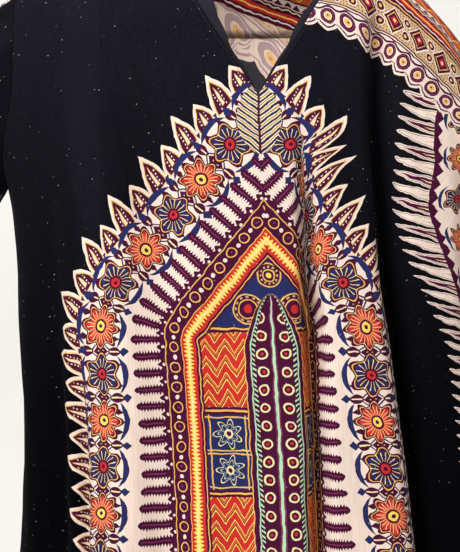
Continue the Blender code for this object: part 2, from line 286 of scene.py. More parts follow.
def creases(points, seed):
    """Soft uneven creases that run mostly downwards, from -1 to 1, one value a point."""
    values = np.empty(len(points))
    for k, (x, y, z) in enumerate(points):
        across, down = (x + CREASE_LEAN * z) / CREASE_WIDTH, z / CREASE_LENGTH
        broad = noise.noise(Vector((across, y / CREASE_WIDTH + seed, down)))
        fine = noise.noise(Vector((across * FINE_ACROSS, down * FINE_DOWN, seed + FINE_SEED)))
        values[k] = (1 - FINE_SHARE) * broad + FINE_SHARE * fine
    return values


DENSE_STEPS = 700


def lengths_along(points):
    """How far each point is along its line, for lines that run down the first axis."""
    steps = np.linalg.norm(np.diff(points, axis=0), axis=-1)
    return np.concatenate([np.zeros_like(steps[:1]), np.cumsum(steps, axis=0)])


def row_curve(panel, side, zone, place):
    """One row as a fine line: its points, and how far they are from the centre along cloth and print."""
    sign = SIDE_SIGN[side]
    face = -1 if panel == "front" else 1
    inner, stop = row_limits(panel, side, zone, place)
    start = oval_angle(side, zone, place, inner)
    theta = np.linspace(0.0, stop, DENSE_STEPS)
    x = np.sin(theta) * SECTIONS[0][1]
    for _ in range(HEIGHT_PASSES):
        z = row_height(side, zone, place, x)
        x = section(z, "half_width") * np.sin(theta)
    cap = math.sin(math.radians(place)) if zone == "cap" else 1.0
    depth = section(z, panel)
    y = depth * np.cos(theta) ** OVAL_POWER * cap
    s = lengths_along(np.stack([x, y], axis=1))
    push = fold_depth(panel, sign * s, z) * cap**2
    push *= 1 - ease((np.degrees(theta) - SEAM_FADE_START) / (90.0 - SEAM_FADE_START))
    normal = np.stack([np.sin(theta) / section(z, "half_width"), np.cos(theta) / depth], axis=1)
    normal /= np.linalg.norm(normal, axis=1)[:, None]
    x = x - push * normal[:, 0]
    y = np.maximum(y - push * normal[:, 1], SEAM_GAP / 2)
    points = np.stack([sign * x + section(z, "sway"), face * y, z], axis=1)
    across = lengths_along(points)
    printed = across + hidden_cloth(panel, sign * s, z)
    keep = theta >= start
    return points[keep], across[keep], printed[keep]


def panel_grid(panel, side):
    """Half a panel: its points, and how far they are across the cloth, across the print and down."""
    count = COLUMNS[f"{panel}_{side}"]
    points, across, printed = [], [], []
    for zone, place in rows_of(panel):
        line, out, inked = row_curve(panel, side, zone, place)
        even = np.linspace(out[0], out[-1], count)
        points.append(np.stack([np.interp(even, out, line[:, k]) for k in range(3)], axis=1))
        across.append(even)
        printed.append(np.interp(even, out, inked))
    points = np.array(points)
    return points, np.array(across), np.array(printed), lengths_along(points)


# %% [markdown]
# ## From grids to walls of cloth
#
# A wall of cloth needs an outer side, an inner side and rims, or light would pass through it in other
# programs. The print is laid on by two UV maps that are in metres: one counts from the centre line and down
# from the V's tip, and one from the centre line and down from the shoulder seam along the cloth. A pattern
# drawn on them bends into the folds as ink does.

# %% Walls with their UV maps
CLOTH = 0.0008


def face_normals(points, quads):
    """The normal of each face, as long as twice its area."""
    corners = points[quads]
    return np.cross(corners[:, 2] - corners[:, 0], corners[:, 3] - corners[:, 1])


def point_normals(points, quads):
    """The average normal of the faces round each point."""
    normals = np.zeros_like(points)
    for k in range(4):
        np.add.at(normals, quads[:, k], face_normals(points, quads))
    return normals / np.maximum(np.linalg.norm(normals, axis=1), 1e-12)[:, None]


def rim_edges(quads):
    """The edges that only one face uses, in that face's direction."""
    edges = np.concatenate([quads[:, [k, (k + 1) % 4]] for k in range(4)])
    known = set(map(tuple, edges.tolist()))
    return np.array([edge for edge in known if (edge[1], edge[0]) not in known])


def add_object(name, data):
    """A new object in the scene."""
    thing = bpy.data.objects.new(name, data)
    bpy.context.scene.collection.objects.link(thing)
    return thing


def wall(name, made, outer=0.0, inner=CLOTH):
    """A closed wall of cloth. Material 0 is on its outer side and rims, and material 1 on its inside."""
    points, normals, quads = made["points"], made["normals"], made["quads"]
    count = len(points)
    inner = np.broadcast_to(inner, (count,))
    vertices = np.concatenate([points - normals * outer, points - normals * inner[:, None]])
    rims = rim_edges(quads)
    sides = np.stack([rims[:, 1], rims[:, 0], rims[:, 0] + count, rims[:, 1] + count], axis=1)
    faces = np.concatenate([quads, quads[:, ::-1] + count, sides])
    mesh = bpy.data.meshes.new(name)
    mesh.from_pydata(vertices.tolist(), [], faces.tolist())
    kinds = np.zeros(len(faces), dtype=np.int32)
    kinds[len(quads) : 2 * len(quads)] = 1
    mesh.polygons.foreach_set("material_index", kinds)
    corner_points = faces.ravel() % count
    for map_name, values in made["maps"].items():
        layer = mesh.uv_layers.new(name=map_name)
        layer.uv.foreach_set("vector", values[corner_points].astype(np.float32).ravel())
    mesh.polygons.foreach_set("use_smooth", np.arange(len(faces)) < 2 * len(quads))
    mesh.validate()
    return add_object(name, mesh)


def quads_from(index, turned=False):
    """The faces of a grid of point numbers, turned over where that is asked for."""
    faces = np.stack([index[:-1, :-1], index[1:, :-1], index[1:, 1:], index[:-1, 1:]], axis=-1).reshape(-1, 4)
    return faces[:, ::-1] if turned else faces


def body_panel(panel):
    """The points, faces and maps of the front or the back."""
    index, points, prints, seams = {}, [], [], []
    total = 0
    for side, sign in SIDE_SIGN.items():
        grid, across, printed, down = panel_grid(panel, side)
        rows, width = across.shape
        places = total + np.arange(rows * width).reshape(rows, width)
        total += rows * width
        if side == "right":
            closed = FIRST_CLOSED_ROW[panel]
            places[closed:, 0] = index["left"][closed:, 0]
        index[side] = places
        points.append(grid.reshape(-1, 3))
        prints.append(np.stack([sign * printed, V_TIP_Z - grid[..., 2]], axis=-1).reshape(-1, 2))
        seams.append(np.stack([sign * across, down], axis=-1).reshape(-1, 2))
    points, prints, seams = map(np.concatenate, (points, prints, seams))
    turned = {"left": panel == "front", "right": panel == "back"}
    quads = np.concatenate([quads_from(index[side], turned[side]) for side in index])
    normals = point_normals(points, quads)
    depth = creases(points, CREASE_SEEDS[panel]) * CREASE_DEPTH
    edge = np.ones(len(points))
    for side in index:
        edge[index[side][0]] = 0.0
        edge[index[side][:, -1]] = 0.0
    points = points - normals * (depth * edge)[:, None]
    normals = point_normals(points, quads)
    for side in index:
        on_seam = np.concatenate([index[side][0], index[side][ARM_ROWS:, -1]])
        points[on_seam, 1] = (-1 if panel == "front" else 1) * SEAM_GAP / 2
        normals[on_seam, 1] = 0.0
        normals[on_seam] /= np.linalg.norm(normals[on_seam], axis=1)[:, None]
    return {
        "points": points,
        "normals": normals,
        "quads": quads,
        "index": index,
        "maps": {"print": prints, "seam": seams},
    }


front = body_panel("front")
back = body_panel("back")
print("front:", len(front["quads"]), "faces; back:", len(back["quads"]), "faces")

# %% [markdown]
# ## The sleeves
#
# A sleeve starts from the ring of points that the armhole edges of the front and the back give it, and runs
# to a flattened oval at its cuff. The rings between are a blend of the two, bowed out a little near the
# armhole.

# %% The armhole rings and the sleeves
SLEEVE_RINGS = 44
SLEEVE_CREASE, SLEEVE_CREASE_GROWTH = 0.0045, 4


def armhole_loop(side):
    """The armhole edge of both panels: from the shoulder down the front, and up the back."""
    points, normals, tangents = [], [], []
    for body, order in ((front, range(ARM_ROWS + 1)), (back, range(ARM_ROWS - 1, 0, -1))):
        for j in order:
            edge, before = body["index"][side][j, -1], body["index"][side][j, -2]
            outwards = body["points"][edge] - body["points"][before]
            points.append(body["points"][edge])
            normals.append(body["normals"][edge])
            tangents.append(outwards / np.linalg.norm(outwards))
    points, normals, tangents = map(np.array, (points, normals, tangents))
    for k in (0, ARM_ROWS):
        points[k, 1] = 0.0
        tangents[k, 1] = 0.0
        tangents[k] /= np.linalg.norm(tangents[k])
    tangents[ARM_ROWS] = (0.0, 0.0, -1.0)
    return points, normals, tangents


def sleeve(side):
    """The points, faces and maps of a sleeve, from its armhole ring to its cuff."""
    sign = SIDE_SIGN[side]
    size = SLEEVES[side]
    ring, ring_normals, tangents = armhole_loop(side)
    count = len(ring)
    lengths = np.linalg.norm(np.diff(np.vstack([ring, ring[:1]]), axis=0), axis=1)
    along = np.concatenate([[0.0], np.cumsum(lengths)[:-1]])
    down, total = along[ARM_ROWS], lengths.sum()
    first = math.pi * along / down
    second = math.pi * (1 + (along - down) / (total - down))
    turn = np.where(along <= down, first, second)
    fall, lean = math.radians(size["fall"]), math.radians(size["cuff_lean"])
    top = ring[0] + size["length"] * np.array([sign * math.cos(fall), 0.0, -math.sin(fall)])
    up = np.array([sign * math.sin(lean), 0.0, math.cos(lean)])
    across = np.array([0.0, -1.0, 0.0])
    ripple = CUFF_FOLD_DEPTH * np.sin(CUFF_FOLDS * turn) * np.sin(turn) ** 2
    below = up * (CUFF_HALF_HEIGHT * (np.cos(turn) - 1))[:, None]
    cuff = top + below + across * ((CUFF_HALF_DEPTH + ripple) * np.sin(turn))[:, None]
    start = ring + tangents * ARMHOLE_GAP
    grid = []
    for k in range(SLEEVE_RINGS + 1):
        t = k / SLEEVE_RINGS
        near = (1 - RING_EVENNESS) * ease(t) + RING_EVENNESS * t
        grid.append(start * (1 - near) + cuff * near + tangents * SLEEVE_BOW * t * (1 - t) ** 2)
    grid = np.array(grid)
    places = np.arange((SLEEVE_RINGS + 1) * count).reshape(SLEEVE_RINGS + 1, count)
    quads = quads_from(np.concatenate([places, places[:, :1]], axis=1))
    points = grid.reshape(-1, 3)
    normals = point_normals(points, quads)
    if np.sum(normals[:count] * ring_normals) < 0:
        quads = quads[:, ::-1]
        normals = -normals
    grown = np.repeat(ease(np.linspace(0, SLEEVE_CREASE_GROWTH, SLEEVE_RINGS + 1)), count)
    points = points - normals * (creases(points, CREASE_SEEDS[side]) * grown * SLEEVE_CREASE)[:, None]
    normals = point_normals(points, quads)
    normals[:count] = ring_normals
    out = lengths_along(points.reshape(SLEEVE_RINGS + 1, count, 3))
    around = np.tile((turn - math.pi) / math.pi * total / 2, (SLEEVE_RINGS + 1, 1))
    from_top = total / 2 - np.abs(around)
    prints = np.stack([around, out[-1] - out], axis=-1).reshape(-1, 2)
    seams = np.stack([out, from_top], axis=-1).reshape(-1, 2)
    return {
        "points": points,
        "normals": normals,
        "quads": quads,
        "places": places,
        "maps": {"print": prints, "seam": seams},
    }


sleeves = {side: sleeve(side) for side in SLEEVES}
print("sleeves:", {side: len(made["quads"]) for side, made in sleeves.items()})

# %% [markdown]
# ## The facings
#
# The neck is finished with shaped pieces on the inside. The back one is the deep shield that shows through
# the V. The front one follows the V, and its edge has rolled out of the opening, so that a plain strip shows
# beside the neck edge, wider at the top than at the tip.

# %% The strips of facing
FACING_GAP = 0.0004
FACING_REACH_BACK = 0.39
FACING_LAST_ROW = CAP_ROWS - 1
FACING_UNDER = 0.018
ROLL_WIDTH = {"left": (0.0065, 0.0260), "right": (0.0045, 0.0100)}
ROLL_RISE = 0.27
ROLL_FROM_Z = -0.112
ROLL_SET_BACK, ROLL_CURL = 0.0050, 6.0
ROLL_SHARE = 0.66
ROLL_COLUMNS = 10


def back_facing():
    """The part of the back's own grid that the shield covers."""
    quads = []
    for side in SIDE_SIGN:
        width = round(FACING_REACH_BACK * COLUMNS[f"back_{side}"])
        quads.append(quads_from(back["index"][side][1:FACING_LAST_ROW, :width], side == "right"))
    quads = np.concatenate(quads)
    used, places = np.unique(quads, return_inverse=True)
    return {
        "points": back["points"][used],
        "normals": back["normals"][used],
        "quads": places.reshape(-1, 4),
        "maps": {name: values[used] for name, values in back["maps"].items()},
    }


def front_facing():
    """The strip along the V: under the front at first, and then rolled into the opening."""
    points, normals, maps, quads = [], [], [], []
    rows = FIRST_CLOSED_ROW["front"]
    for side, sign in SIDE_SIGN.items():
        places = len(points) + np.arange(rows * ROLL_COLUMNS).reshape(rows, ROLL_COLUMNS)
        quads.append(quads_from(places, side == "right"))
        narrow, widest = ROLL_WIDTH[side]
        for numbers in front["index"][side][1 : rows + 1]:
            row = front["points"][numbers]
            normal = front["normals"][numbers[0]]
            out = lengths_along(row)
            tangent = (row[0] - row[3]) / np.linalg.norm(row[0] - row[3])
            room = ROLL_SHARE * abs(row[0, 0]) + 1e-6
            wide = min(max(narrow + ROLL_RISE * (row[0, 2] - ROLL_FROM_Z), narrow), widest)
            wide = (wide**-3 + room**-3) ** (-1 / 3)
            for k in range(ROLL_COLUMNS):
                w = -FACING_UNDER + (FACING_UNDER + wide) * k / (ROLL_COLUMNS - 1)
                base = row[0] + tangent * w
                if w <= 0:
                    base = np.array([np.interp(-w, out, row[:, c]) for c in range(3)])
                set_back = ROLL_SET_BACK * ease(1 + w / FACING_UNDER) + ROLL_CURL * max(w, 0.0) ** 2
                points.append(base - normal * (CLOTH + FACING_GAP + set_back))
                normals.append(normal)
                maps.append((sign * w, V_TIP_Z - base[2]))
    maps = np.array(maps)
    return {
        "points": np.array(points),
        "normals": np.array(normals),
        "quads": np.concatenate(quads),
        "maps": {"print": maps, "seam": maps},
    }


facings = {"front": front_facing(), "back": back_facing()}
print("facings:", {name: len(made["quads"]) for name, made in facings.items()})

# %% [markdown]
# ## Tools for the print
#
# The print is drawn by formulas, so it stays sharp at any distance. Blender's Math nodes are slow to write
# by hand, so one function reads an ordinary formula and makes its nodes, and another lays flat colours over
# each other as a printer does. A formula's names are the sockets in a dictionary, and `measure` adds to it.

# %% Nodes, formulas and layers of ink
MATHS = {
    "abs": "ABSOLUTE",
    "angle": "ARCTAN2",
    "cos": "COSINE",
    "floor": "FLOOR",
    "max": "MAXIMUM",
    "min": "MINIMUM",
    "mod": "FLOORED_MODULO",
    "sin": "SINE",
    "sqrt": "SQRT",
    "zigzag": "PINGPONG",
}
SIGNS = {
    ast.Add: "ADD",
    ast.Sub: "SUBTRACT",
    ast.Mult: "MULTIPLY",
    ast.Div: "DIVIDE",
    ast.Pow: "POWER",
    ast.Lt: "LESS_THAN",
    ast.Gt: "GREATER_THAN",
}


def linear(hex_colour):
    """An sRGB hex colour as linear red, green and blue, with an alpha of 1."""
    parts = [int(hex_colour[k : k + 2], 16) / 255 for k in (1, 3, 5)]
    return tuple(c / 12.92 if c <= 0.04045 else ((c + 0.055) / 1.055) ** 2.4 for c in parts) + (1.0,)


def add(tree, kind, settings=None, links=None):
    """Adds a node. Settings are its own values or its inputs, and links tell where an input comes from."""
    node = tree.nodes.new(kind)
    for name, value in (settings or {}).items():
        if isinstance(name, str) and hasattr(node, name):
            setattr(node, name, value)
        else:
            node.inputs[name].default_value = value
    for name, source in (links or {}).items():
        tree.links.new(source.outputs[0] if isinstance(source, bpy.types.Node) else source, node.inputs[name])
    return node


def join(tree, kind, settings, values):
    """Adds a node whose inputs are given as numbers, hex colours, sockets or nodes."""
    values = {key: linear(value) if isinstance(value, str) else value for key, value in values.items()}
    links = {key: value for key, value in values.items() if isinstance(value, bpy.types.bpy_struct)}
    fixed = {key: value for key, value in values.items() if key not in links}
    return add(tree, kind, {**settings, **fixed}, links)


def blend(tree, factor, below, above, way="MIX"):
    """The colour between two colours."""
    settings = {"data_type": "RGBA", "blend_type": way}
    return join(tree, "ShaderNodeMix", settings, {0: factor, 6: below, 7: above}).outputs[2]


def formula(tree, text, names):
    """The Math nodes of a formula, as their last output."""

    def operation(kind, values):
        return join(tree, "ShaderNodeMath", {"operation": kind}, dict(enumerate(values))).outputs[0]

    def build(part):
        if isinstance(part, ast.Constant):
            return part.value
        if isinstance(part, ast.Name):
            return names[part.id]
        if isinstance(part, ast.UnaryOp):
            value = build(part.operand)
            return -value if isinstance(value, (int, float)) else operation("MULTIPLY", (value, -1.0))
        if isinstance(part, ast.BinOp):
            return operation(SIGNS[type(part.op)], (build(part.left), build(part.right)))
        if isinstance(part, ast.Compare):
            return operation(SIGNS[type(part.ops[0])], (build(part.left), build(part.comparators[0])))
        return operation(MATHS[part.func.id], [build(value) for value in part.args])

    return build(ast.parse(text).body[0].value)


def measure(tree, names, formulas):
    """Adds named formulas to the names, each of which can use the ones before it."""
    for name, text in formulas.items():
        names[name] = formula(tree, text, names)


def paint(tree, ground, layers, names):
    """Lays colours over a ground, each where its formula is 1."""
    for text, ink in layers:
        ground = blend(tree, formula(tree, text, names), ground, ink)
    return ground


def from_middle(value, step):
    """The formula of how far a value is from the middle of its repeat."""
    return f"(mod({value}, {step}) - {step / 2})"


def under(name, limits):
    """Layers that cover less and less, each where a name is under a limit."""
    return [(f"{name} < {limit}", ink) for limit, ink in limits]


def over(name, limits):
    """Layers that cover less and less, each where a name is over a limit."""
    return [(f"{name} > {limit}", ink) for limit, ink in limits]


def within(area, layers):
    """Layers that show only in an area."""
    return [(f"{area} * ({text})", ink) for text, ink in layers]


def pattern_group(name, inputs):
    """An empty node group with number inputs and the outputs Colour and Inked, and its inputs as names."""
    tree = bpy.data.node_groups.new(name, "ShaderNodeTree")
    for each in inputs:
        tree.interface.new_socket(each, in_out="INPUT", socket_type="NodeSocketFloat")
    tree.interface.new_socket("Colour", in_out="OUTPUT", socket_type="NodeSocketColor")
    tree.interface.new_socket("Inked", in_out="OUTPUT", socket_type="NodeSocketFloat")
    given = add(tree, "NodeGroupInput")
    return tree, {each: given.outputs[each] for each in inputs}


def close_group(tree, colour, inked):
    """Gives a pattern its two outputs and says how many nodes it has."""
    add(tree, "NodeGroupOutput", links={"Colour": colour, "Inked": inked})
    print(tree.name, len(tree.nodes), "nodes")


# %% The inks
CREAM = "#DDC8BB"
PLUM = "#431230"
LIGHT_PLUM = "#743050"
VERMILION = "#B72C2B"
ORANGE = "#CC5830"
YELLOW = "#EFC65A"
GOLD = "#D9A756"
PALE_GOLD = "#DCCB98"
TAN = "#B89C70"
NAVY = "#262A55"
MINT = "#A6CBA6"
GREY_MINT = "#9FB1A6"
BLACK_CLOTH = "#040306"
# A lighter black for painted light: it is laid over BLACK_CLOTH where the lamps fall on the cloth.
PAINTED_LIGHT_BLACK = "#15141B"

# %% [markdown]
# ## The panel down the front
#
# The main print is a tall panel with a gable at its top, just under the V. Everything in it keeps a
# constant distance from a core with the same gable: leaves outside its edge, a row of rosettes, a row of
# rays, a band of rings and a comb of fine teeth. So each point first gets its distance to the core, `d`
# counts inwards from the panel's edge, and the way along a band is worked out on that band's own radius
# round the corners. The band of rosettes spreads a little towards the hem, so the leaves and the rosettes
# count by `outer`, which starts further out there.

# %% Distances in the panel
PANEL_HALF = 0.228
CORE_DEPTH = 0.147
CORE_TOP = 0.186
GABLE_ANGLE = math.radians(42.0)
SPREAD, SPREAD_FROM, SPREAD_OVER = 0.013, 0.160, 0.120
SPREAD_LOW, SPREAD_SLOPE, SPREAD_LIMIT = 0.340, 0.10, 0.2

sine, cosine = math.sin(GABLE_ANGLE), math.cos(GABLE_ANGLE)
core_half = PANEL_HALF - CORE_DEPTH
core_corner = CORE_TOP + core_half * cosine / sine


def way_along(depth):
    """The formula of the way along the band at a depth, from the gable's end of the corner."""
    return f"run + turned * {CORE_DEPTH - depth}"


panel, at = pattern_group("printed_panel", ("u", "v"))
measure(panel, at, {
    "a": "abs(u)",
    "aside": f"a - {core_half}",
    "below": f"v - {core_corner}",
    "slope_way": f"aside * {sine} + below * {cosine}",
    "slope_out": f"aside * {cosine} - below * {sine}",
    "straight": "max(slope_out, aside)",
    "rounded": "sqrt(aside * aside + below * below)",
    "corner": "(slope_way > 0) * (below < 0) * (aside > 0)",
    "d": f"{CORE_DEPTH} - straight - corner * (rounded - straight)",
    "turned": f"min(max(angle(slope_way, slope_out), 0), {GABLE_ANGLE})",
    "run": "min(slope_way, 0) + max(below, 0) * (slope_way > 0)",
    "low": f"min(max((v - {SPREAD_FROM}) / {SPREAD_OVER}, 0), 1)",
    "wider_below": f"{SPREAD_SLOPE} * min(max(v - {SPREAD_LOW}, 0), {SPREAD_LIMIT})",
    "spread": f"{SPREAD} * low * low * (3 - 2 * low) + wider_below",
    "outer": "d + spread",
})
print("core:", round(2000 * core_half), "mm wide, its corner", round(1000 * core_corner), "mm under the V")

# %% The leaves outside the panel's edge
LEAF_STEP = 0.0300
LEAF_LENGTH = 0.0360
LEAF_LEAN = 0.30
LEAF_CURVE = 0.62
SMALL_LEAF = 0.68
DOT_STEP = 0.0042


def leaf_inside(width, length, base=0.0):
    """A pointed leaf that is a given share of the whole leaf's width and length."""
    tip = f"tall * {length} * max(1 - leaf / {width}, 0) ** {LEAF_CURVE}"
    return f"(outer + {tip} > 0) * (leaf < {width}) * (outer < {base})"


measure(panel, at, {
    "leaf_way": f"{way_along(0.0)} - outer * {LEAF_LEAN}",
    "leaf": f"abs{from_middle('leaf_way', LEAF_STEP)} / {LEAF_STEP / 2}",
    "tall": f"{LEAF_LENGTH} * (1 - {1 - SMALL_LEAF} * mod(floor(leaf_way / {LEAF_STEP}), 2))",
    "inked": f"outer + tall * max(1 - leaf, 0) ** {LEAF_CURVE} > 0",
    "vein": "abs(leaf - 0.30) < 0.05",
    "bead": f"abs{from_middle('outer', DOT_STEP)} < {DOT_STEP * 0.2}",
})
leaf_layers = [
    (leaf_inside(0.78, 0.82, 0.0060), GOLD),
    (leaf_inside(0.70, 0.76, 0.0052), PLUM),
    ("vein * bead * (outer + tall * 0.42 > 0) * (outer < 0.004)", CREAM),
    (leaf_inside(0.17, 0.60, 0.0010), GOLD),
    (leaf_inside(0.10, 0.54, 0.0004), CREAM),
    ("(leaf > 0.80) * (outer > 0.0010) * (outer < 0.0010 + 0.030 * (leaf - 0.80))", NAVY),
]

# %% The rosettes and the lozenges between them
ROSETTE_STEP = 0.0525
ROSETTE_PHASE = 0.0150
ROSETTE_DEPTH = 0.0350
ROSETTE_SIZE = 0.0258
WARM_FLOWER = (PLUM, VERMILION, ORANGE, PALE_GOLD, YELLOW)
COOL_FLOWER = (PLUM, NAVY, PLUM, PALE_GOLD, VERMILION)


def rosette(size, petals, colours):
    """Layers of a flower of a given radius, from its outline to its eye, for the names r and turn."""
    outline, petal, heart, vein, eye = colours
    lobes = (
        (1.00, 0.90, 0.16, outline),
        (0.93, 0.86, 0.14, GOLD),
        (0.88, 0.86, 0.14, outline),
        (0.80, 0.84, 0.16, petal),
        (0.56, 0.82, 0.18, heart),
    )
    layers = [
        (f"r < {size * share} * ({mean} + {swing} * cos(turn * {petals}))", ink)
        for share, mean, swing, ink in lobes
    ]
    veins = f"(abs(cos(turn * {petals * 1.5})) < 0.26) * (r < {size * 0.70}) * (r > {size * 0.28})"
    layers.append((veins, vein))
    return layers + under("r", ((size * 0.30, outline), (size * 0.21, eye), (size * 0.09, outline)))


def flowers(size, ring, swing):
    """Warm and cool flowers in turn, each inside a broken ring, for the names r, turn and warm."""
    layers = [(f"abs(r - {size * ring}) < -{swing} * cos(turn * 2)", NAVY)]
    layers += within("warm", rosette(size, 8, WARM_FLOWER))
    return layers + within("(1 - warm)", rosette(size, 6, COOL_FLOWER))


measure(panel, at, {
    "way": f"{way_along(ROSETTE_DEPTH)} - {ROSETTE_PHASE}",
    "cell": from_middle(f"way + {ROSETTE_STEP / 2}", ROSETTE_STEP),
    "between": f"abs{from_middle('way', ROSETTE_STEP)}",
    "warm": f"mod(floor(way / {ROSETTE_STEP} + 0.5), 2)",
    "deep": f"outer - {ROSETTE_DEPTH}",
    "r": "sqrt(cell * cell + deep * deep)",
    "turn": "angle(deep, cell)",
    "lozenge": "between + 0.8 * abs(deep)",
    "sprout": "abs(abs(outer - 0.0345) - 0.0195)",
})
row_layers = under("lozenge", ((0.0125, NAVY), (0.0105, CREAM), (0.0086, PLUM), (0.0036, PALE_GOLD)))
row_layers += [
    ("between / 0.0056 + (sprout / 0.0092) ** 2 < 1", PLUM),
    ("(between < 0.0008) * (sprout < 0.0065)", PALE_GOLD),
    ("(between < 0.0016) * (outer > 0.0600) * (outer < 0.0700)", PLUM),
    ("between + 0.9 * abs(outer - 0.0655) < 0.0052", NAVY),
    ("between + 0.6 * abs(outer - 0.0085) < 0.0046", NAVY),
    ("abs(between - 0.0150) + 0.5 * abs(outer - 0.0120) < 0.0036", PLUM),
    ("abs(between - 0.0150) + 0.5 * abs(outer - 0.0550) < 0.0036", PLUM),
    *flowers(ROSETTE_SIZE, 1.19, 0.0034),
]

# %% The rays, the rings and the comb
RAY_STEP = 0.0190
RAY_START, RAY_END = 0.0620, 0.0965
RAY_GROWTH, RAY_GROWN = 1.1, 0.023
RAY_TIP = 0.0045
RAY_WAY_DEPTH = 0.080
TOOTH = 0.00175
RING_STEP = 0.0225
RING_DEPTH = 0.1115
COMB_START, COMB_END = 0.1220, 0.1400
COMB_DEPTH = (COMB_START + COMB_END) / 2
COMB_STEP = 0.0044

tip = f"{RAY_TIP} * (ray / {RAY_STEP / 4}) ** 2"
measure(panel, at, {
    "ray_way": way_along(RAY_WAY_DEPTH),
    "ray": f"abs{from_middle('ray_way', RAY_STEP)}",
    "start": f"min({RAY_START + RAY_GROWN} - {RAY_GROWTH} * spread, {RAY_START}) + {tip}",
    "foot": f"cos(ray_way * {4 * math.pi / RAY_STEP})",
    "foot_dot": f"sqrt((ray - {RAY_STEP / 2}) ** 2 + (d - {RAY_END + 0.0024}) ** 2)",
    "ring_way": way_along(RING_DEPTH),
    "ring": f"sqrt({from_middle('ring_way', RING_STEP)} ** 2 + (d - {RING_DEPTH}) ** 2)",
    "dot": f"sqrt({from_middle(f'ring_way + {RING_STEP / 2}', RING_STEP)} ** 2 + (d - {RING_DEPTH}) ** 2)",
    "comb": f"zigzag({way_along(COMB_DEPTH)}, {COMB_STEP / 2}) / {COMB_STEP / 2}",
    "tooth": f"zigzag(d, {TOOTH}) / {TOOTH}",
})
band_layers = [
    (f"(ray < 0.0035 + 0.0034 * tooth ** 1.5) * (d > start) * (d < {RAY_END})", PLUM),
    (f"d > {RAY_END} - 0.0024 * (1 + foot)", PLUM),
    (f"(ray < 0.0006) * (d > start + 0.004) * (d < {RAY_END - 0.004})", LIGHT_PLUM),
    (f"d > {RAY_END}", PLUM),
    ("foot_dot < 0.0017", CREAM),
    (f"abs(d - {RAY_END + 0.0052}) < 0.0006", GOLD),
    ("abs(ring - 0.0056) < 0.0007", GOLD),
    ("ring < 0.0012", LIGHT_PLUM),
    ("dot < 0.0024", CREAM),
    *over("d", ((COMB_START, GOLD), (COMB_START + 0.0010, VERMILION))),
    (f"(d < {COMB_END}) * (abs(d - {COMB_DEPTH}) < 0.0014 + 0.0048 * comb)", YELLOW),
    (f"abs(d - {COMB_DEPTH}) < 0.0009", PALE_GOLD),
    *over("d", ((COMB_END, PLUM), (COMB_END + 0.0024, GOLD), (COMB_END + 0.0036, PLUM))),
]

# %% The blocks in the core
HEAD_END = 0.262
BLOCK_HEIGHT = 0.092
ZIGZAG_HALF, ZIGZAG_STEP = 0.0110, 0.0190
FLOWER_X, FLOWER_Y = 0.0575, 0.0205
FLOWER_PETALS = 7
ROUNDEL_COLUMNS = ("across", "down", "rim", "rim_half", "inner_rim", "beads", "eye", "eye_ink")
ROUNDELS = {
    "curl": (0.0260, 0.2395, 0.0165, 0.0009, 0.0105, 0.0138, 0.0048, VERMILION),
    "drop": (0.0, 0.2020, 0.0130, 0.0008, 0.0066, 0.0094, 0.0030, YELLOW),
}

measure(panel, at, {
    "inside": f"d > {CORE_DEPTH - 0.0010}",
    "head": f"inside * (v < {HEAD_END})",
    "row": from_middle(f"v - {HEAD_END}", BLOCK_HEIGHT),
    "odd": f"mod(floor((v - {HEAD_END}) / {BLOCK_HEIGHT}), 2)",
    "plain_block": f"inside * (v > {HEAD_END}) * (1 - odd)",
    "flower_block": f"inside * (v > {HEAD_END}) * odd",
    "zig": f"mod(row + 1.5 * zigzag(a, {ZIGZAG_HALF}), {ZIGZAG_STEP})",
    "flower_x": f"a - {FLOWER_X}",
    "flower_y": f"abs(row) - {FLOWER_Y}",
    "flower": "sqrt(flower_x * flower_x + flower_y * flower_y)",
    "petals": f"cos(angle(flower_y, flower_x) * {FLOWER_PETALS})",
    "frames": "min((abs(abs(flower_x) - 0.0205) < 0.0008) + (abs(abs(flower_y) - 0.0185) < 0.0008), 1)",
})
head_layers = [("1", NAVY)]
for name, values in ROUNDELS.items():
    size = dict(zip(ROUNDEL_COLUMNS, values))
    x, y = f"(a - {size['across']})", f"(v - {size['down']})"
    beads = f"cos(12 * angle({y}, {x})) > 0.2"
    measure(panel, at, {name: f"sqrt({x} ** 2 + {y} ** 2)", f"{name}_beads": beads})
    head_layers += [
        (f"abs({name} - {size['rim']}) < {size['rim_half']}", GOLD),
        (f"{name} < {size['rim'] - 0.0008}", PLUM),
        (f"abs({name} - {size['inner_rim']}) < 0.0007", GOLD),
        (f"{name}_beads * (abs({name} - {size['beads']}) < 0.0010)", TAN),
        (f"{name} < {size['eye']}", size["eye_ink"]),
    ]
plain_layers = [
    ("1", VERMILION),
    ("zig < 0.0074", PLUM),
    ("abs(zig - 0.0037) < 0.0014", ORANGE),
    ("abs(zig - 0.0078) < 0.0009", YELLOW),
    ("zig < 0.0014", YELLOW),
]
flower_layers = [
    ("1", NAVY),
    ("flower < 0.0172 * (0.78 + 0.22 * petals)", PALE_GOLD),
    ("flower < 0.0156 * (0.77 + 0.23 * petals)", NAVY),
    ("flower < 0.0118 * (0.76 + 0.24 * petals)", GREY_MINT),
    ("flower < 0.0104 * (0.75 + 0.25 * petals)", NAVY),
    *under("flower", ((0.0050, PALE_GOLD), (0.0026, PLUM))),
    ("frames", GOLD),
]
block_edges = over("abs(row)", ((BLOCK_HEIGHT / 2 - 0.0042, PLUM), (BLOCK_HEIGHT / 2 - 0.0011, GOLD)))
core_layers = (
    within("head", head_layers)
    + within("plain_block", plain_layers)
    + within("flower_block", flower_layers)
    + within(f"inside * (v > {HEAD_END - 0.002})", block_edges)
)

# %% The column of rings up the middle, and the pointed vein under the V
COLUMN_TOP = 0.222
COLUMN_HALF = 0.0335
COLUMN_ARCH, ARCH_POWER = 0.060, 0.55
COLUMN_RING_STEP = 0.0200
SPRIG_START, SPRIG_END = -0.012, 0.066
SPRIG_HALF = 0.025
FEATHER_STEP = 0.0078

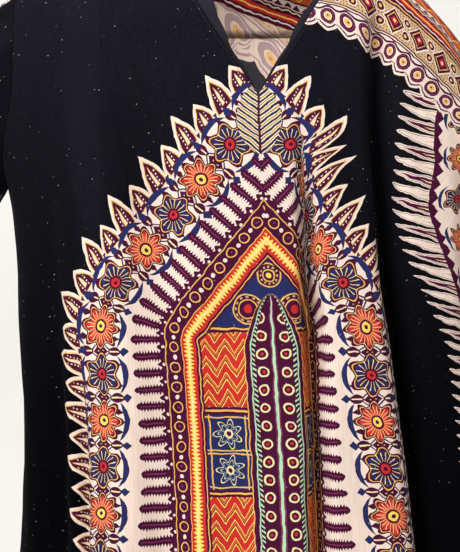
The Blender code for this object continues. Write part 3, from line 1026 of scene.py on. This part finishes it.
measure(panel, at, {
    "column": f"inside * (v > {COLUMN_TOP})",
    "arch": f"min(max(v - {COLUMN_TOP}, 0) / {COLUMN_ARCH}, 1) ** {ARCH_POWER}",
    "side_on": "a / max(arch, 0.001)",
    "column_ring": f"sqrt((a - 0.0135) ** 2 + {from_middle('v', COLUMN_RING_STEP)} ** 2)",
    "dash": "mod(v + a * 0.8, 0.0056) < 0.0021",
    "sprig_share": f"min(max((v - {SPRIG_START}) / {SPRIG_END - SPRIG_START}, 0), 1)",
    "sprig": f"a < {SPRIG_HALF} * (4 * sprig_share * (1 - sprig_share)) ** 0.6",
    "feather": f"mod(v + 0.75 * a, {FEATHER_STEP})",
})
column_layers = [
    *under("side_on", ((COLUMN_HALF, GOLD), (COLUMN_HALF - 0.0011, PLUM))),
    (f"(side_on < {COLUMN_HALF - 0.0085}) * dash", MINT),
    (f"(side_on < {COLUMN_HALF - 0.0065}) * (side_on > {COLUMN_HALF - 0.0080})", MINT),
    (f"side_on < {COLUMN_HALF - 0.0125}", PLUM),
    ("(side_on < 0.0205) * (abs(column_ring - 0.0052) < 0.0010)", PALE_GOLD),
    ("(side_on < 0.0205) * (column_ring < 0.0018)", VERMILION),
    *under("side_on", ((0.0034, LIGHT_PLUM), (0.0016, MINT))),
]
sprig_layers = [
    ("1", PALE_GOLD),
    ("feather < 0.0031", NAVY),
    ("abs(feather - 0.0054) < 0.0006", LIGHT_PLUM),
    ("a < 0.0014", PLUM),
]
middle_layers = within("column", column_layers) + within("sprig", sprig_layers)
inks = paint(panel, CREAM, leaf_layers + row_layers + band_layers + core_layers + middle_layers, at)
close_group(panel, inks, formula(panel, "max(inked, sprig)", at))

# %% [markdown]
# ## The bands and the side borders
#
# The same band of scallops, lozenges, stripes and spots runs over the shoulders, across the back, along the
# hem and round the cuffs, as much of it as each place is deep. The cloth's two selvedges have a border of
# long slanted leaves that point to the middle, with a row of rosettes and stripes behind them.

# %% The band, by the distance in from its edge and the distance along it
SCALLOP = 0.0080
SCROLL_STEP = 0.0225
SCROLL_E = 0.0100
LATTICE_STEP = 0.0360
FIELD_START, FIELD_END = 0.0275, 0.0620
FIELD_MIDDLE = (FIELD_START + FIELD_END) / 2
STIPPLE_STEP = 0.0040
SPOTS_START = 0.1480
SMALL_STEP = 0.0060

band, along = pattern_group("printed_band", ("e", "s"))
measure(band, along, {
    "scroll_x": from_middle("s", SCROLL_STEP),
    "scallop": f"abs(scroll_x) / {SCROLL_STEP / 2}",
    "scroll": f"sqrt(scroll_x * scroll_x + (e - {SCROLL_E}) ** 2)",
    "stem": f"abs(e - 0.0195 + 0.0020 * cos(s * {2 * math.pi / SCROLL_STEP}))",
    "lattice": f"abs{from_middle('s', LATTICE_STEP)} + 0.95 * abs(e - {FIELD_MIDDLE})",
    "knot_s": from_middle(f"s + {LATTICE_STEP / 2}", LATTICE_STEP),
    "knot": f"sqrt(knot_s * knot_s + (abs(e - {FIELD_MIDDLE}) - 0.0080) ** 2)",
    "stipple": f"sqrt({from_middle('s', STIPPLE_STEP)} ** 2 + {from_middle('e', STIPPLE_STEP)} ** 2)",
    "small": f"zigzag(s, {SMALL_STEP}) / {SMALL_STEP}",
    "spot_e": from_middle(f"e - {SPOTS_START}", SCROLL_STEP),
    "spot": "sqrt(scroll_x * scroll_x + spot_e * spot_e)",
})
STRIPES = (
    (FIELD_START - 0.0016, PLUM),
    (FIELD_START, TAN),
    (FIELD_END, PLUM),
    (0.0748, VERMILION),
    (0.0838, PLUM),
    (0.0912, CREAM),
    (0.0996, PLUM),
    (0.1016, VERMILION),
    (0.1172, PLUM),
    (0.1216, NAVY),
    (0.1330, PLUM),
    (0.1345, CREAM),
    (SPOTS_START, PLUM),
)
band_layers = [
    (f"e > 0.0014 - {SCALLOP * 0.80} * max(1 - scallop * 1.25, 0) ** 0.6", PLUM),
    (f"e > 0.0024 - {SCALLOP * 0.66} * max(1 - scallop * 1.45, 0) ** 0.6", CREAM),
    ("scroll < 0.0092", PLUM),
    ("abs(scroll - 0.0073) < 0.0005", LIGHT_PLUM),
    *under("scroll", ((0.0050, CREAM), (0.0038, GOLD), (0.0012, PLUM))),
    ("stem < 0.0013", PLUM),
    ("abs(e - 0.0238) < 0.0009", PLUM),
    *over("e", STRIPES),
    (f"(e > {FIELD_START}) * (e < {FIELD_END}) * (stipple < 0.0009)", LIGHT_PLUM),
    *under("lattice", ((0.0158, CREAM), (0.0142, PLUM), (0.0106, GOLD), (0.0094, PLUM))),
    *under("lattice", ((0.0050, VERMILION), (0.0022, PALE_GOLD))),
    *under("knot", ((0.0056, CREAM), (0.0045, PLUM), (0.0018, GOLD))),
    ("abs(e - 0.0652) < 0.0008", GOLD),
    ("abs(e - 0.0705 - 0.0014 * small) < 0.0009", CREAM),
    ("abs(e - 0.0792) < 0.0009", YELLOW),
    ("abs(e - 0.0872 - 0.0016 * small) < 0.0009", PALE_GOLD),
    ("(e > 0.0924) * (e < 0.0924 + 0.0060 * small)", PLUM),
    ("(e > 0.1016) * (e < 0.1030 + 0.0120 * scallop)", ORANGE),
    ("abs(e - 0.1030 - 0.0120 * scallop) < 0.0009", YELLOW),
    ("abs(e - 0.1192) < 0.0007", GOLD),
    ("abs(e - 0.1260 - 0.0030 * small) < 0.0009", MINT),
    ("abs(e - 0.1410) < 0.0050 * small", LIGHT_PLUM),
]
spots = under("spot", ((0.0082, VERMILION), (0.0068, PLUM), (0.0050, GOLD), (0.0024, NAVY)))
spots.append((f"abs(spot_e) > {SCROLL_STEP / 2 - 0.0007}", GOLD))
band_layers += within(f"(e > {SPOTS_START})", spots)
inks = paint(band, CREAM, band_layers, along)
close_group(band, inks, formula(band, f"e > -{SCALLOP} * (1 - scallop) ** 0.6", along))

# %% The side border, by the distance in from its leaf tips and the height
SIDE_LEAF_STEP = 0.0150
SIDE_LEAF_LENGTH = 0.0480
SIDE_LEAF_LEAN, SIDE_LEAF_BEND = 0.42, 2.4
SIDE_ROSETTE = 0.0170
SIDE_ROSETTE_STEP = 0.0460
SIDE_ROSETTE_AT = SIDE_LEAF_LENGTH + 0.0330

border, beside = pattern_group("printed_border", ("b", "t"))
measure(border, beside, {
    "blade_way": f"t - {SIDE_LEAF_LEAN} * b + {SIDE_LEAF_BEND} * b * b",
    "blade": f"abs{from_middle('blade_way', SIDE_LEAF_STEP)} / {SIDE_LEAF_STEP / 2}",
    "dark": f"mod(floor(blade_way / {SIDE_LEAF_STEP}), 2)",
    "length": f"min(max(b / {SIDE_LEAF_LENGTH}, 0), 1)",
    "wide": "length ** 0.60 * (1.10 - 0.22 * length)",
    "side_x": from_middle("t", SIDE_ROSETTE_STEP),
    "side_y": f"b - {SIDE_ROSETTE_AT}",
    "r": "sqrt(side_x * side_x + side_y * side_y)",
    "turn": "angle(side_y, side_x)",
    "warm": f"mod(floor(t / {SIDE_ROSETTE_STEP}), 2)",
    "past": f"b - {SIDE_LEAF_LENGTH}",
})
border_layers = [
    *under("blade", (("wide - 0.16", PLUM), ("wide - 0.23", CREAM))),
    ("dark * (blade < wide - 0.40) * (b > 0.006)", LIGHT_PLUM),
    ("dark * (blade < wide - 0.50) * (b > 0.008)", PLUM),
    ("dark * (blade < wide - 0.76) * (b > 0.014)", PALE_GOLD),
    ("(1 - dark) * (blade < wide - 0.78) * (b > 0.020)", TAN),
    *over("past", ((-0.0010, PLUM), (0.0028, CREAM), (0.0560, PLUM), (0.0590, YELLOW), (0.0620, VERMILION))),
    *over("past", ((0.0780, PLUM), (0.0880, NAVY), (0.1040, PLUM))),
    ("(past > 0.0028) * (past < 0.0040 + 0.0065 * (1 - blade))", PLUM),
    ("abs(past - 0.0690 - 0.0040 * blade) < 0.0012", YELLOW),
    ("abs(past - 0.0830) < 0.0009", GOLD),
    ("abs(past - 0.0940 - 0.0040 * blade) < 0.0012", MINT),
    *flowers(SIDE_ROSETTE, 1.22, 0.0022),
]
inks = paint(border, CREAM, border_layers, beside)
close_group(border, inks, formula(border, "min((past > 0) + (b > 0) * (blade < wide), 1)", beside))

# %% [markdown]
# ## Cotton
#
# The cloth is plain-weave cotton, dyed black and printed. A real thread is about 0.35 mm apart from the
# next, which is too fine to show here, so the weave is drawn at 1.1 mm. Cotton is rough and scatters light,
# with a faint bloom at grazing angles from its loose fibres, and black cotton picks up specks of white lint.
# The black is painted lighter grey near the shoulders and along a fold on the left front: painted light
# where the lamps fall on it, fading towards the hem and mottled by noise. The print's lines wander a little,
# as lines printed on cloth do. Inside, the ink has only partly gone through, so the wrong side is paler.

# %% The cotton material
COTTON_ROUGHNESS, COTTON_SPECULAR = 0.86, 0.02
COTTON_SHEEN, SHEEN_ROUGHNESS = 0.006, 0.45
THREAD_STEP, THREAD_HEIGHT, THREAD_BUMP = 0.0011, 0.00022, 0.35
SLUBS_ACROSS, SLUBS_ALONG = 700, 24
CLOUD_SCALE, GRAIN_SCALE = 9.0, 420.0
SPECK_STEP = 0.0060
LINT = "#C9C6C4"
WANDER, WANDER_LENGTH = 0.0052, 0.016
# FACING_GROUND is a grey lighter than the black cloth: partly the duller cloth of the rolled strip, partly
# painted light on a strip that lies in shade.
WRONG_SIDE, WRONG_SIDE_GROUND, FACING_GROUND = "#F6E8E2", "#3A383E", "#232128"
PALING, PALE_SATURATION = 0.42, 1.5
# Painted light on the black: lighter near the shoulders, fading out further down towards the hem.
PAINTED_LIGHT_TOP, WEAR_FROM, WEAR_OVER = 0.80, -0.12, 0.62
# A painted highlight along the lit side of a fold on the left front.
PAINTED_HIGHLIGHT_AT, PAINTED_HIGHLIGHT_WIDTH = -0.205, 0.026


def principled(name, roughness):
    """A new material, its tree and its shader."""
    material = bpy.data.materials.new(name)
    material.use_nodes = True
    shader = material.node_tree.nodes["Principled BSDF"]
    shader.inputs["Roughness"].default_value = roughness
    return material, material.node_tree, shader


def soft_noise(tree, place, scale, detail):
    return add(tree, "ShaderNodeTexNoise", {"Scale": scale, "Detail": detail}, {"Vector": place})


def flat_place(tree, names, across, down):
    """A place in a plane, from two formulas."""
    values = {0: formula(tree, across, names), 1: formula(tree, down, names)}
    return join(tree, "ShaderNodeCombineXYZ", {}, values)


def cotton(name, prints=(), pale_prints=(), grounds=(BLACK_CLOTH, PAINTED_LIGHT_BLACK)):
    """Plain-weave cotton. Each print is a node group and the formulas of its inputs, for u, v, s and d."""
    material, tree, shader = principled(name, COTTON_ROUGHNESS)
    shader.inputs["Sheen Weight"].default_value = COTTON_SHEEN
    shader.inputs["Sheen Roughness"].default_value = SHEEN_ROUGHNESS
    shader.inputs["Specular IOR Level"].default_value = COTTON_SPECULAR
    names = {}
    for map_name, first, second in (("print", "u", "v"), ("seam", "s", "d")):
        uv_map = add(tree, "ShaderNodeUVMap", {"uv_map": map_name})
        parts = add(tree, "ShaderNodeSeparateXYZ", links={0: uv_map.outputs[0]})
        names[first], names[second] = parts.outputs[0], parts.outputs[1]
    place = add(tree, "ShaderNodeTexCoord").outputs["Object"]
    threads = flat_place(tree, names, f"u * {SLUBS_ACROSS}", f"v * {SLUBS_ALONG}")
    speck_place = flat_place(tree, names, f"u / {SPECK_STEP}", f"v / {SPECK_STEP}")
    specks = add(tree, "ShaderNodeTexVoronoi", {"Scale": 1.0}, {"Vector": speck_place})
    chance = add(tree, "ShaderNodeSeparateColor", links={0: specks.outputs["Color"]})
    names.update(
        cloudy=soft_noise(tree, place, CLOUD_SCALE, 3.0).outputs[0],
        grain=soft_noise(tree, place, GRAIN_SCALE, 2.0).outputs[0],
        slub=soft_noise(tree, threads, 1.0, 2.0).outputs[0],
        near=specks.outputs["Distance"],
        luck=chance.outputs[0],
        pick=chance.outputs[1],
    )
    turns = 2 * math.pi / THREAD_STEP
    # Painted light on the black: lighter near the shoulders and along a fold on the left, fading downwards,
    # mottled by grain noise.
    measure(tree, names, {
        "low": f"min(max((v - {WEAR_FROM}) / {WEAR_OVER}, 0), 1)",
        "away": f"(u - {PAINTED_HIGHLIGHT_AT}) / {PAINTED_HIGHLIGHT_WIDTH}",
        "worn": f"({PAINTED_LIGHT_TOP} + 0.5 * max(1 - away * away, 0)) * (1 - low * low * (3 - 2 * low))",
        "mottled_painted_light": "worn * (0.2 + 1.6 * grain)",
        "tone": "0.62 + 0.46 * slub + 0.30 * cloudy",
        "lint": "(near < 0.03 + 0.07 * luck) * (pick > 0.45) * (0.15 + 0.5 * luck)",
        "weave": f"sin(u * {turns}) * sin(v * {turns}) + 0.8 * slub",
    })
    hand = flat_place(tree, names, f"u / {WANDER_LENGTH}", f"v / {WANDER_LENGTH}")
    wander = soft_noise(tree, hand, 1.0, 2.5)
    drift = add(tree, "ShaderNodeSeparateColor", links={0: wander.outputs["Color"]})
    drawn = {
        key: formula(tree, f"x + {WANDER} * (n - 0.5)", {"x": names[key], "n": drift.outputs[k]})
        for key, k in (("u", 0), ("v", 1), ("s", 0), ("d", 1))
    }
    # The ground colours: the second is laid over the first by the painted light above.
    colour = blend(tree, names["mottled_painted_light"], *grounds)
    for k, (group, inputs) in enumerate(pale_prints + prints):
        sockets = {key: formula(tree, text, drawn) for key, text in inputs.items()}
        inks = add(tree, "ShaderNodeGroup", {"node_tree": group}, sockets)
        ink = inks.outputs["Colour"]
        if k < len(pale_prints):
            pale = blend(tree, PALING, ink, WRONG_SIDE)
            ink = add(tree, "ShaderNodeHueSaturation", {"Saturation": PALE_SATURATION}, {"Color": pale})
        colour = blend(tree, inks.outputs["Inked"], colour, ink)
    toned = blend(tree, 1.0, colour, names["tone"], "MULTIPLY")
    tree.links.new(blend(tree, names["lint"], toned, LINT), shader.inputs["Base Color"])
    settings = {"Strength": THREAD_BUMP, "Distance": THREAD_HEIGHT}
    bump = add(tree, "ShaderNodeBump", settings, {"Height": names["weave"]})
    tree.links.new(bump.outputs[0], shader.inputs["Normal"])
    return material


# %% [markdown]
# Where each print lies is measured on the cloth. The band over the shoulders reaches further down on one
# side of the front than on the other, because the cloth was cut a little askew.

# %% The materials of the dress
SIDE_BORDER_START = {"left": 0.400, "right": 0.208}
SIDE_BORDER_SWING, SWING_FROM, SWING_OVER = 0.118, 0.040, 0.260
BAND_REACH = {"front_left": 0.020, "front_right": 0.168, "back_left": 0.205, "back_right": 0.150}
YOKE_V, YOKE_TILT, YOKE_LEVELS_AT, YOKE_SCALE = -0.076, 0.80, 0.060, 0.52
STRIPES_V, STRIPES_TILT = -0.129, 0.36
STRIPES_START = FIELD_END + 0.0035
BACK_PANEL_DROP = 0.120
CUFF_BAND = 0.080
HEM_BAND_V = 0.735


def by_side(first, second):
    """The formula of a value that is another one where u is over 0."""
    return f"({first} + ({second} - {first}) * (u > 0))"


def yoke_print():
    """The band across the back of the neck, drawn larger, with an edge that runs askew in its middle."""
    edge = f"{YOKE_V} + {YOKE_TILT} * min(max(u, -{YOKE_LEVELS_AT}), {YOKE_LEVELS_AT})"
    return band, {"e": f"{YOKE_SCALE} * ({edge} - v)", "s": f"{YOKE_SCALE} * u"}


def body_prints(piece):
    """The prints of the front or the back, the lowest first."""
    left, right = SIDE_BORDER_START["left"], SIDE_BORDER_START["right"]
    k = f"min(max((v - {SWING_FROM}) / {SWING_OVER}, 0), 1)"
    right = f"({right} + {SIDE_BORDER_SWING} * {k} * {k} * (3 - 2 * {k}))"
    start, yoke = "v", ()
    if piece == "back":
        right = left
        start, yoke = f"v - {YOKE_V + BACK_PANEL_DROP}", (yoke_print(),)
    reach = by_side(BAND_REACH[f"{piece}_left"], BAND_REACH[f"{piece}_right"])
    return (
        (border, {"b": f"abs(s) - {by_side(left, right)}", "t": "v"}),
        (panel, {"u": "u", "v": start}),
        (band, {"e": f"v - {HEM_BAND_V}", "s": "u"}),
        *yoke,
        (band, {"e": f"{reach} - d", "s": "abs(s)"}),
    )


def sleeve_prints(side):
    top = by_side(BAND_REACH[f"front_{side}"], BAND_REACH[f"back_{side}"])
    return (band, {"e": f"{top} - d", "s": "s"}), (band, {"e": f"{CUFF_BAND} - v", "s": "u"})


def both_sides(name, prints):
    """The right side and the wrong side of a printed piece."""
    looks[name] = cotton(f"printed_cotton_{name}", prints)
    inside = f"{name}_inside"
    looks[inside] = cotton(f"printed_cotton_{inside}", (), prints, (WRONG_SIDE_GROUND, WRONG_SIDE_GROUND))


looks = {}
for piece in ("front", "back"):
    both_sides(piece, body_prints(piece))
for side in sleeves:
    both_sides(f"sleeve_{side}", sleeve_prints(side))
# The rolled strip at the V is a lighter grey, partly painted light.
looks["facing_front"] = cotton("black_cotton_facing", grounds=(FACING_GROUND, FACING_GROUND))
above = f"({STRIPES_V} + {STRIPES_TILT} * u - v)"
stripes = (band, {"e": f"({STRIPES_START} + {above}) * ({above} > 0) - ({above} < 0)", "s": "u"})
looks["facing_back"] = cotton("printed_cotton_facing", (stripes,), (yoke_print(),))
print(len(looks), "cottons")

# %% [markdown]
# ## The pieces
#
# Each fine piece stands for the plain wall of the same name and rides with the body of the part. The
# table of cuts gives the size that each sheet was cut to.

# %% Make the pieces
HEM_TURN = 0.020
HEM_THICKNESS = 0.0009


def dress_piece(name, node, made, inside, slot, outer=0.0, inner=CLOTH):
    """A sheet of the dress in place of a node, with the look of its name outside and another one inside."""
    thing = wall(f"{name}_cloth", made, outer, inner)
    thing.data.materials.append(looks[name])
    thing.data.materials.append(looks[inside])
    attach(thing, "root")
    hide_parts(node)
    areas = np.linalg.norm(face_normals(made["points"], made["quads"]), axis=1) / 2
    print(thing.name, "area", round(areas.sum(), 4))
    return thing


def turned(near_edge):
    """How deep the inner side lies, where the turned hem is thicker than the cloth."""
    return CLOTH + HEM_THICKNESS * near_edge


for name, made in (("front", front), ("back", back)):
    inner = turned(made["maps"]["print"][:, 1] > V_TIP_Z - HEM_Z - HEM_TURN)
    dress_piece(name, name, made, f"{name}_inside", f"{name}_cotton", inner=inner)
for side, made in sleeves.items():
    name = f"sleeve_{side}"
    inner = turned(made["maps"]["print"][:, 1] < HEM_TURN)
    dress_piece(name, name, made, f"{name}_inside", "sleeve_cotton", inner=inner)
under_back = {"outer": CLOTH + FACING_GAP, "inner": 2 * CLOTH + FACING_GAP}
for side, depth in {"front": {}, "back": under_back}.items():
    name = f"facing_{side}"
    dress_piece(name, f"neck_{name}", facings[side], name, "facing_cotton", **depth)

# %% [markdown]
# ## Stitches
#
# The hem and the cuffs are turned up and sewn down with a straight stitch, and a row of stitches holds the
# facing near the neck edge. A drawn dashed line would lie flat, and real thread stands up a little and
# catches the light. So each seam is a line on the cloth, and Geometry Nodes put a small long bead of thread
# on it for every stitch, turned to the line and to the cloth, with the little unevenness of a machine that
# is guided by hand.

# %% The seam lines
HEM_SEAM = 0.0180
NECK_SEAM = 0.0032
THREAD_LIFT = 0.00012


def on_row(made, numbers, values, level):
    """The point and the normal at which a value that grows along a row of points has a level."""
    both = np.hstack([made["points"][numbers], made["normals"][numbers]])
    return [np.interp(level, values, column) for column in both.T]


def level_line(made, grid, values, level):
    """Points and normals on a grid of point numbers where a value that falls along its columns is level."""
    columns = grid[::-1].T
    return np.array([on_row(made, numbers, values[numbers], level) for numbers in columns])


def hem_line(made):
    values = made["points"][:, 2]
    left, right = [level_line(made, made["index"][side], values, HEM_Z + HEM_SEAM) for side in SIDE_SIGN]
    return np.vstack([left[::-1], right])


def cuff_line(made):
    line = level_line(made, made["places"], made["maps"]["print"][:, 1], HEM_SEAM)
    return np.vstack([line, line[:1]])


def neck_line(piece, made):
    """A line at an even distance from the neck edge, down one side and up the other."""
    sides = []
    for side in SIDE_SIGN:
        rows = made["index"][side][1 : FIRST_CLOSED_ROW[piece]]
        sides.append([on_row(made, row, lengths_along(made["points"][row]), NECK_SEAM) for row in rows])
    left, right = sides
    return np.vstack([left, right[::-1]])


seams = {
    "hem_front_stitches": ("front", hem_line(front)),
    "hem_back_stitches": ("back", hem_line(back)),
    "neck_front_stitches": ("front", neck_line("front", front)),
    "neck_back_stitches": ("back", neck_line("back", back)),
}
for side, made in sleeves.items():
    seams[f"cuff_{side}_stitches"] = (f"sleeve_{side}", cuff_line(made))
for name, (piece, line) in seams.items():
    print(name, "on", piece, round(lengths_along(line[:, :3])[-1], 3), "m")

# %% The thread
THREAD = "#08070A"
THREAD_PAINTED_HIGHLIGHT = "#211E26"
THREAD_ROUGHNESS = 0.55
TWIST, TWIST_STRENGTH, TWIST_HEIGHT = 2600.0, 0.4, 0.0001

thread, tree, shader = principled("sewing_thread", THREAD_ROUGHNESS)
place = add(tree, "ShaderNodeTexCoord")
x, y, z = add(tree, "ShaderNodeSeparateXYZ", links={0: place.outputs["Object"]}).outputs
ply = formula(tree, f"0.5 + 0.5 * sin((x + y + z) * {TWIST})", {"x": x, "y": y, "z": z})
# The thread is painted lighter on the crest of each twist: a painted highlight that follows the bump.
tree.links.new(blend(tree, ply, THREAD, THREAD_PAINTED_HIGHLIGHT), shader.inputs["Base Color"])
bump = add(tree, "ShaderNodeBump", {"Strength": TWIST_STRENGTH, "Distance": TWIST_HEIGHT}, {"Height": ply})
tree.links.new(bump.outputs[0], shader.inputs["Normal"])

# %% The stitch tree
STITCH_STEP = 0.0034
STITCH_LENGTH = 0.0028
STITCH_RADIUS = 0.00026
SEWING_SEED = 4
UNEVEN = 0.10

sewing = bpy.data.node_groups.new("straight_stitch", "GeometryNodeTree")
sewing.interface.new_socket("Geometry", in_out="INPUT", socket_type="NodeSocketGeometry")
sizes_of_stitch = {"Step": STITCH_STEP, "Length": STITCH_LENGTH, "Radius": STITCH_RADIUS}
for name in sizes_of_stitch:
    sewing.interface.new_socket(name, in_out="INPUT", socket_type="NodeSocketFloat")
sewing.interface.new_socket("Geometry", in_out="OUTPUT", socket_type="NodeSocketGeometry")
given = add(sewing, "NodeGroupInput").outputs
path = add(sewing, "GeometryNodeMeshToCurve", links={"Mesh": given["Geometry"]})
by_length = {"Curve": path, "Length": given["Step"]}
spaced = add(sewing, "GeometryNodeResampleCurve", {"mode": "LENGTH"}, by_length)
bead = add(sewing, "GeometryNodeMeshUVSphere", {"Segments": 6, "Rings": 4})
outwards = add(sewing, "GeometryNodeInputNamedAttribute", {"data_type": "FLOAT_VECTOR", "Name": "outwards"})
tangent = add(sewing, "GeometryNodeInputTangent")
along = add(sewing, "FunctionNodeAlignRotationToVector", {"axis": "Z"}, {"Vector": tangent})
turns = {"Rotation": along, "Vector": outwards}
upright = add(sewing, "FunctionNodeAlignRotationToVector", {"axis": "X", "pivot_axis": "Z"}, turns)
half = add(sewing, "ShaderNodeMath", {"operation": "MULTIPLY", 1: 0.5}, {0: given["Length"]})
size = add(sewing, "ShaderNodeCombineXYZ", links={0: given["Radius"], 1: given["Radius"], 2: half})
spread = {"data_type": "FLOAT", 2: 1 - UNEVEN, 3: 1 + UNEVEN, "Seed": SEWING_SEED}
uneven = add(sewing, "FunctionNodeRandomValue", spread)
scaled = add(sewing, "ShaderNodeVectorMath", {"operation": "SCALE"}, {0: size, "Scale": uneven.outputs[1]})
set_out = {"Points": spaced, "Instance": bead, "Rotation": upright, "Scale": scaled}
beads = add(sewing, "GeometryNodeInstanceOnPoints", links=set_out)
real = add(sewing, "GeometryNodeRealizeInstances", links={0: beads})
smooth = add(sewing, "GeometryNodeSetShadeSmooth", links={0: real})
threaded = add(sewing, "GeometryNodeSetMaterial", {"Material": thread}, {"Geometry": smooth})
add(sewing, "NodeGroupOutput", links={0: threaded})


def sew(name, line):
    """A piece of stitches along a line of points and normals."""
    mesh = bpy.data.meshes.new(name)
    steps = [(k, k + 1) for k in range(len(line) - 1)]
    mesh.from_pydata((line[:, :3] + line[:, 3:] * THREAD_LIFT).tolist(), steps, [])
    mesh.attributes.new("outwards", "FLOAT_VECTOR", "POINT").data.foreach_set("vector", line[:, 3:].ravel())
    guide = add_object(f"{name}_line", mesh)
    modifier = guide.modifiers.new("stitches", "NODES")
    modifier.node_group = sewing
    for item in sewing.interface.items_tree:
        if item.in_out == "INPUT" and item.name in sizes_of_stitch:
            modifier[item.identifier] = sizes_of_stitch[item.name]
    depsgraph = bpy.context.evaluated_depsgraph_get()
    made = bpy.data.meshes.new_from_object(guide.evaluated_get(depsgraph), depsgraph=depsgraph)
    bpy.data.objects.remove(guide)
    made.name = name
    return add_object(name, made)


sewn = {}
for name, (piece, line) in seams.items():
    stitches = sew(name, line)
    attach(stitches, "root")
    sewn.setdefault(piece, []).append(stitches)
    print(name, len(stitches.data.polygons), "faces")

# %% What each sheet was cut to
CUTS = {
    "front": ((0.98, 1.01), 0.800, ("back",)),
    "back": ((0.93, 1.01), 0.755, ("front",)),
    "sleeve_left": ((0.56, 0.21), 0.078, ("front", "back")),
    "sleeve_right": ((0.59, 0.21), 0.074, ("front", "back")),
    "facing_front": ((0.19, 0.19), 0.0149, ("front",)),
    "facing_back": ((0.33, 0.10), 0.0242, ("back",)),
}
for name, (flat, area, hangs_from) in CUTS.items():
    print(name, "cut", flat, "area", area)

# %% [markdown]
# ## The camera, the light and the room
#
# The photograph is a close view from straight in front, with soft light from the upper left. One pixel is
# about 1.1 mm at the front of the dress, and the tip of the V is a little right of the picture's middle.

# %% Camera
PICTURE = (460, 552)
V_TIP_PIXEL = (258, 95)
PIXEL_SIZE = 0.00112
LENS = 100.0
SENSOR = 36.0
FRONT_Y = -0.118

middle_x = (PICTURE[0] / 2 - V_TIP_PIXEL[0]) * PIXEL_SIZE
middle_z = V_TIP_Z - (PICTURE[1] / 2 - V_TIP_PIXEL[1]) * PIXEL_SIZE
distance = PICTURE[0] * PIXEL_SIZE * LENS / SENSOR
camera_data = bpy.data.cameras.new("camera")
camera_data.lens = LENS
camera_data.sensor_fit = "HORIZONTAL"
camera_data.sensor_width = SENSOR
camera = add_object("camera", camera_data)
camera.location = (middle_x, FRONT_Y - distance, middle_z)
camera.rotation_euler = (math.pi / 2, 0.0, 0.0)
bpy.context.scene.camera = camera
print("camera", [round(x, 3) for x in camera.location])

# %% Floor and wall behind
FLOOR_Z = -1.030
ROOM_HALF = 3.0
WALL_Y = 1.1
WALL_HEIGHT = 4.0
CORNER, CORNER_STEPS = 0.5, 12
PAINT, PAINT_ROUGHNESS = "#E6E4E0", 0.9


def room():
    """A pale floor that curves up into a wall behind the dress. From behind, the wall is clear."""
    profile = [(-ROOM_HALF, FLOOR_Z), (WALL_Y - CORNER, FLOOR_Z)]
    for k in range(1, CORNER_STEPS):
        turn = math.pi / 2 * k / CORNER_STEPS
        profile.append((WALL_Y - CORNER + CORNER * math.sin(turn), FLOOR_Z + CORNER * (1 - math.cos(turn))))
    profile += [(WALL_Y, FLOOR_Z + CORNER), (WALL_Y, FLOOR_Z + WALL_HEIGHT)]
    vertices = [(x, y, z) for y, z in profile for x in (-ROOM_HALF, ROOM_HALF)]
    faces = [(2 * k, 2 * k + 1, 2 * k + 3, 2 * k + 2) for k in range(len(profile) - 1)]
    mesh = bpy.data.meshes.new("room")
    mesh.from_pydata(vertices, [], faces)
    mesh.shade_smooth()
    material, tree, shader = principled("matt_white_paint", PAINT_ROUGHNESS)
    shader.inputs["Base Color"].default_value = linear(PAINT)
    behind = add(tree, "ShaderNodeNewGeometry").outputs["Backfacing"]
    clear = add(tree, "ShaderNodeBsdfTransparent")
    mix = add(tree, "ShaderNodeMixShader", links={0: behind, 1: shader, 2: clear})
    tree.links.new(mix.outputs[0], tree.nodes["Material Output"].inputs[0])
    mesh.materials.append(material)
    add_object("room", mesh)


room()

# %% Soft light
LIGHTS = (
    ("key", (-1.35, -1.7, 1.1), 1.1, 60.0),
    ("fill", (0.9, -2.2, -0.2), 1.8, 9.0),
    ("above", (-0.3, -0.7, 1.6), 1.0, 26.0),
)
LIGHT_TARGET = Vector((0.0, 0.0, -0.4))
NECK_LIGHT_PLACE, NECK_LIGHT_TARGET = (-0.08, -0.60, 0.60), Vector((0.0, 0.06, -0.03))
NECK_LIGHT_POWER, NECK_LIGHT_CONE, NECK_LIGHT_BLEND, NECK_LIGHT_SIZE = 28.0, 18.0, 0.8, 0.08
SKY, SKY_STRENGTH = "#F2F1EF", 0.40


def hang_light(name, light, place, target):
    thing = add_object(name, light)
    thing.location = place
    thing.rotation_euler = (target - Vector(place)).to_track_quat("-Z", "Y").to_euler()


for name, place, size, power in LIGHTS:
    light = bpy.data.lights.new(name, "AREA")
    light.size = size
    light.energy = power
    hang_light(name, light, place, LIGHT_TARGET)
neck_light = bpy.data.lights.new("neck", "SPOT")
neck_light.energy = NECK_LIGHT_POWER
neck_light.spot_size = math.radians(NECK_LIGHT_CONE)
neck_light.spot_blend = NECK_LIGHT_BLEND
neck_light.shadow_soft_size = NECK_LIGHT_SIZE
hang_light("neck", neck_light, NECK_LIGHT_PLACE, NECK_LIGHT_TARGET)
world = bpy.data.worlds.new("soft_sky")
world.use_nodes = True
background = world.node_tree.nodes["Background"]
background.inputs[0].default_value = linear(SKY)
background.inputs[1].default_value = SKY_STRENGTH
bpy.context.scene.world = world
bpy.context.scene.view_settings.view_transform = "Standard"
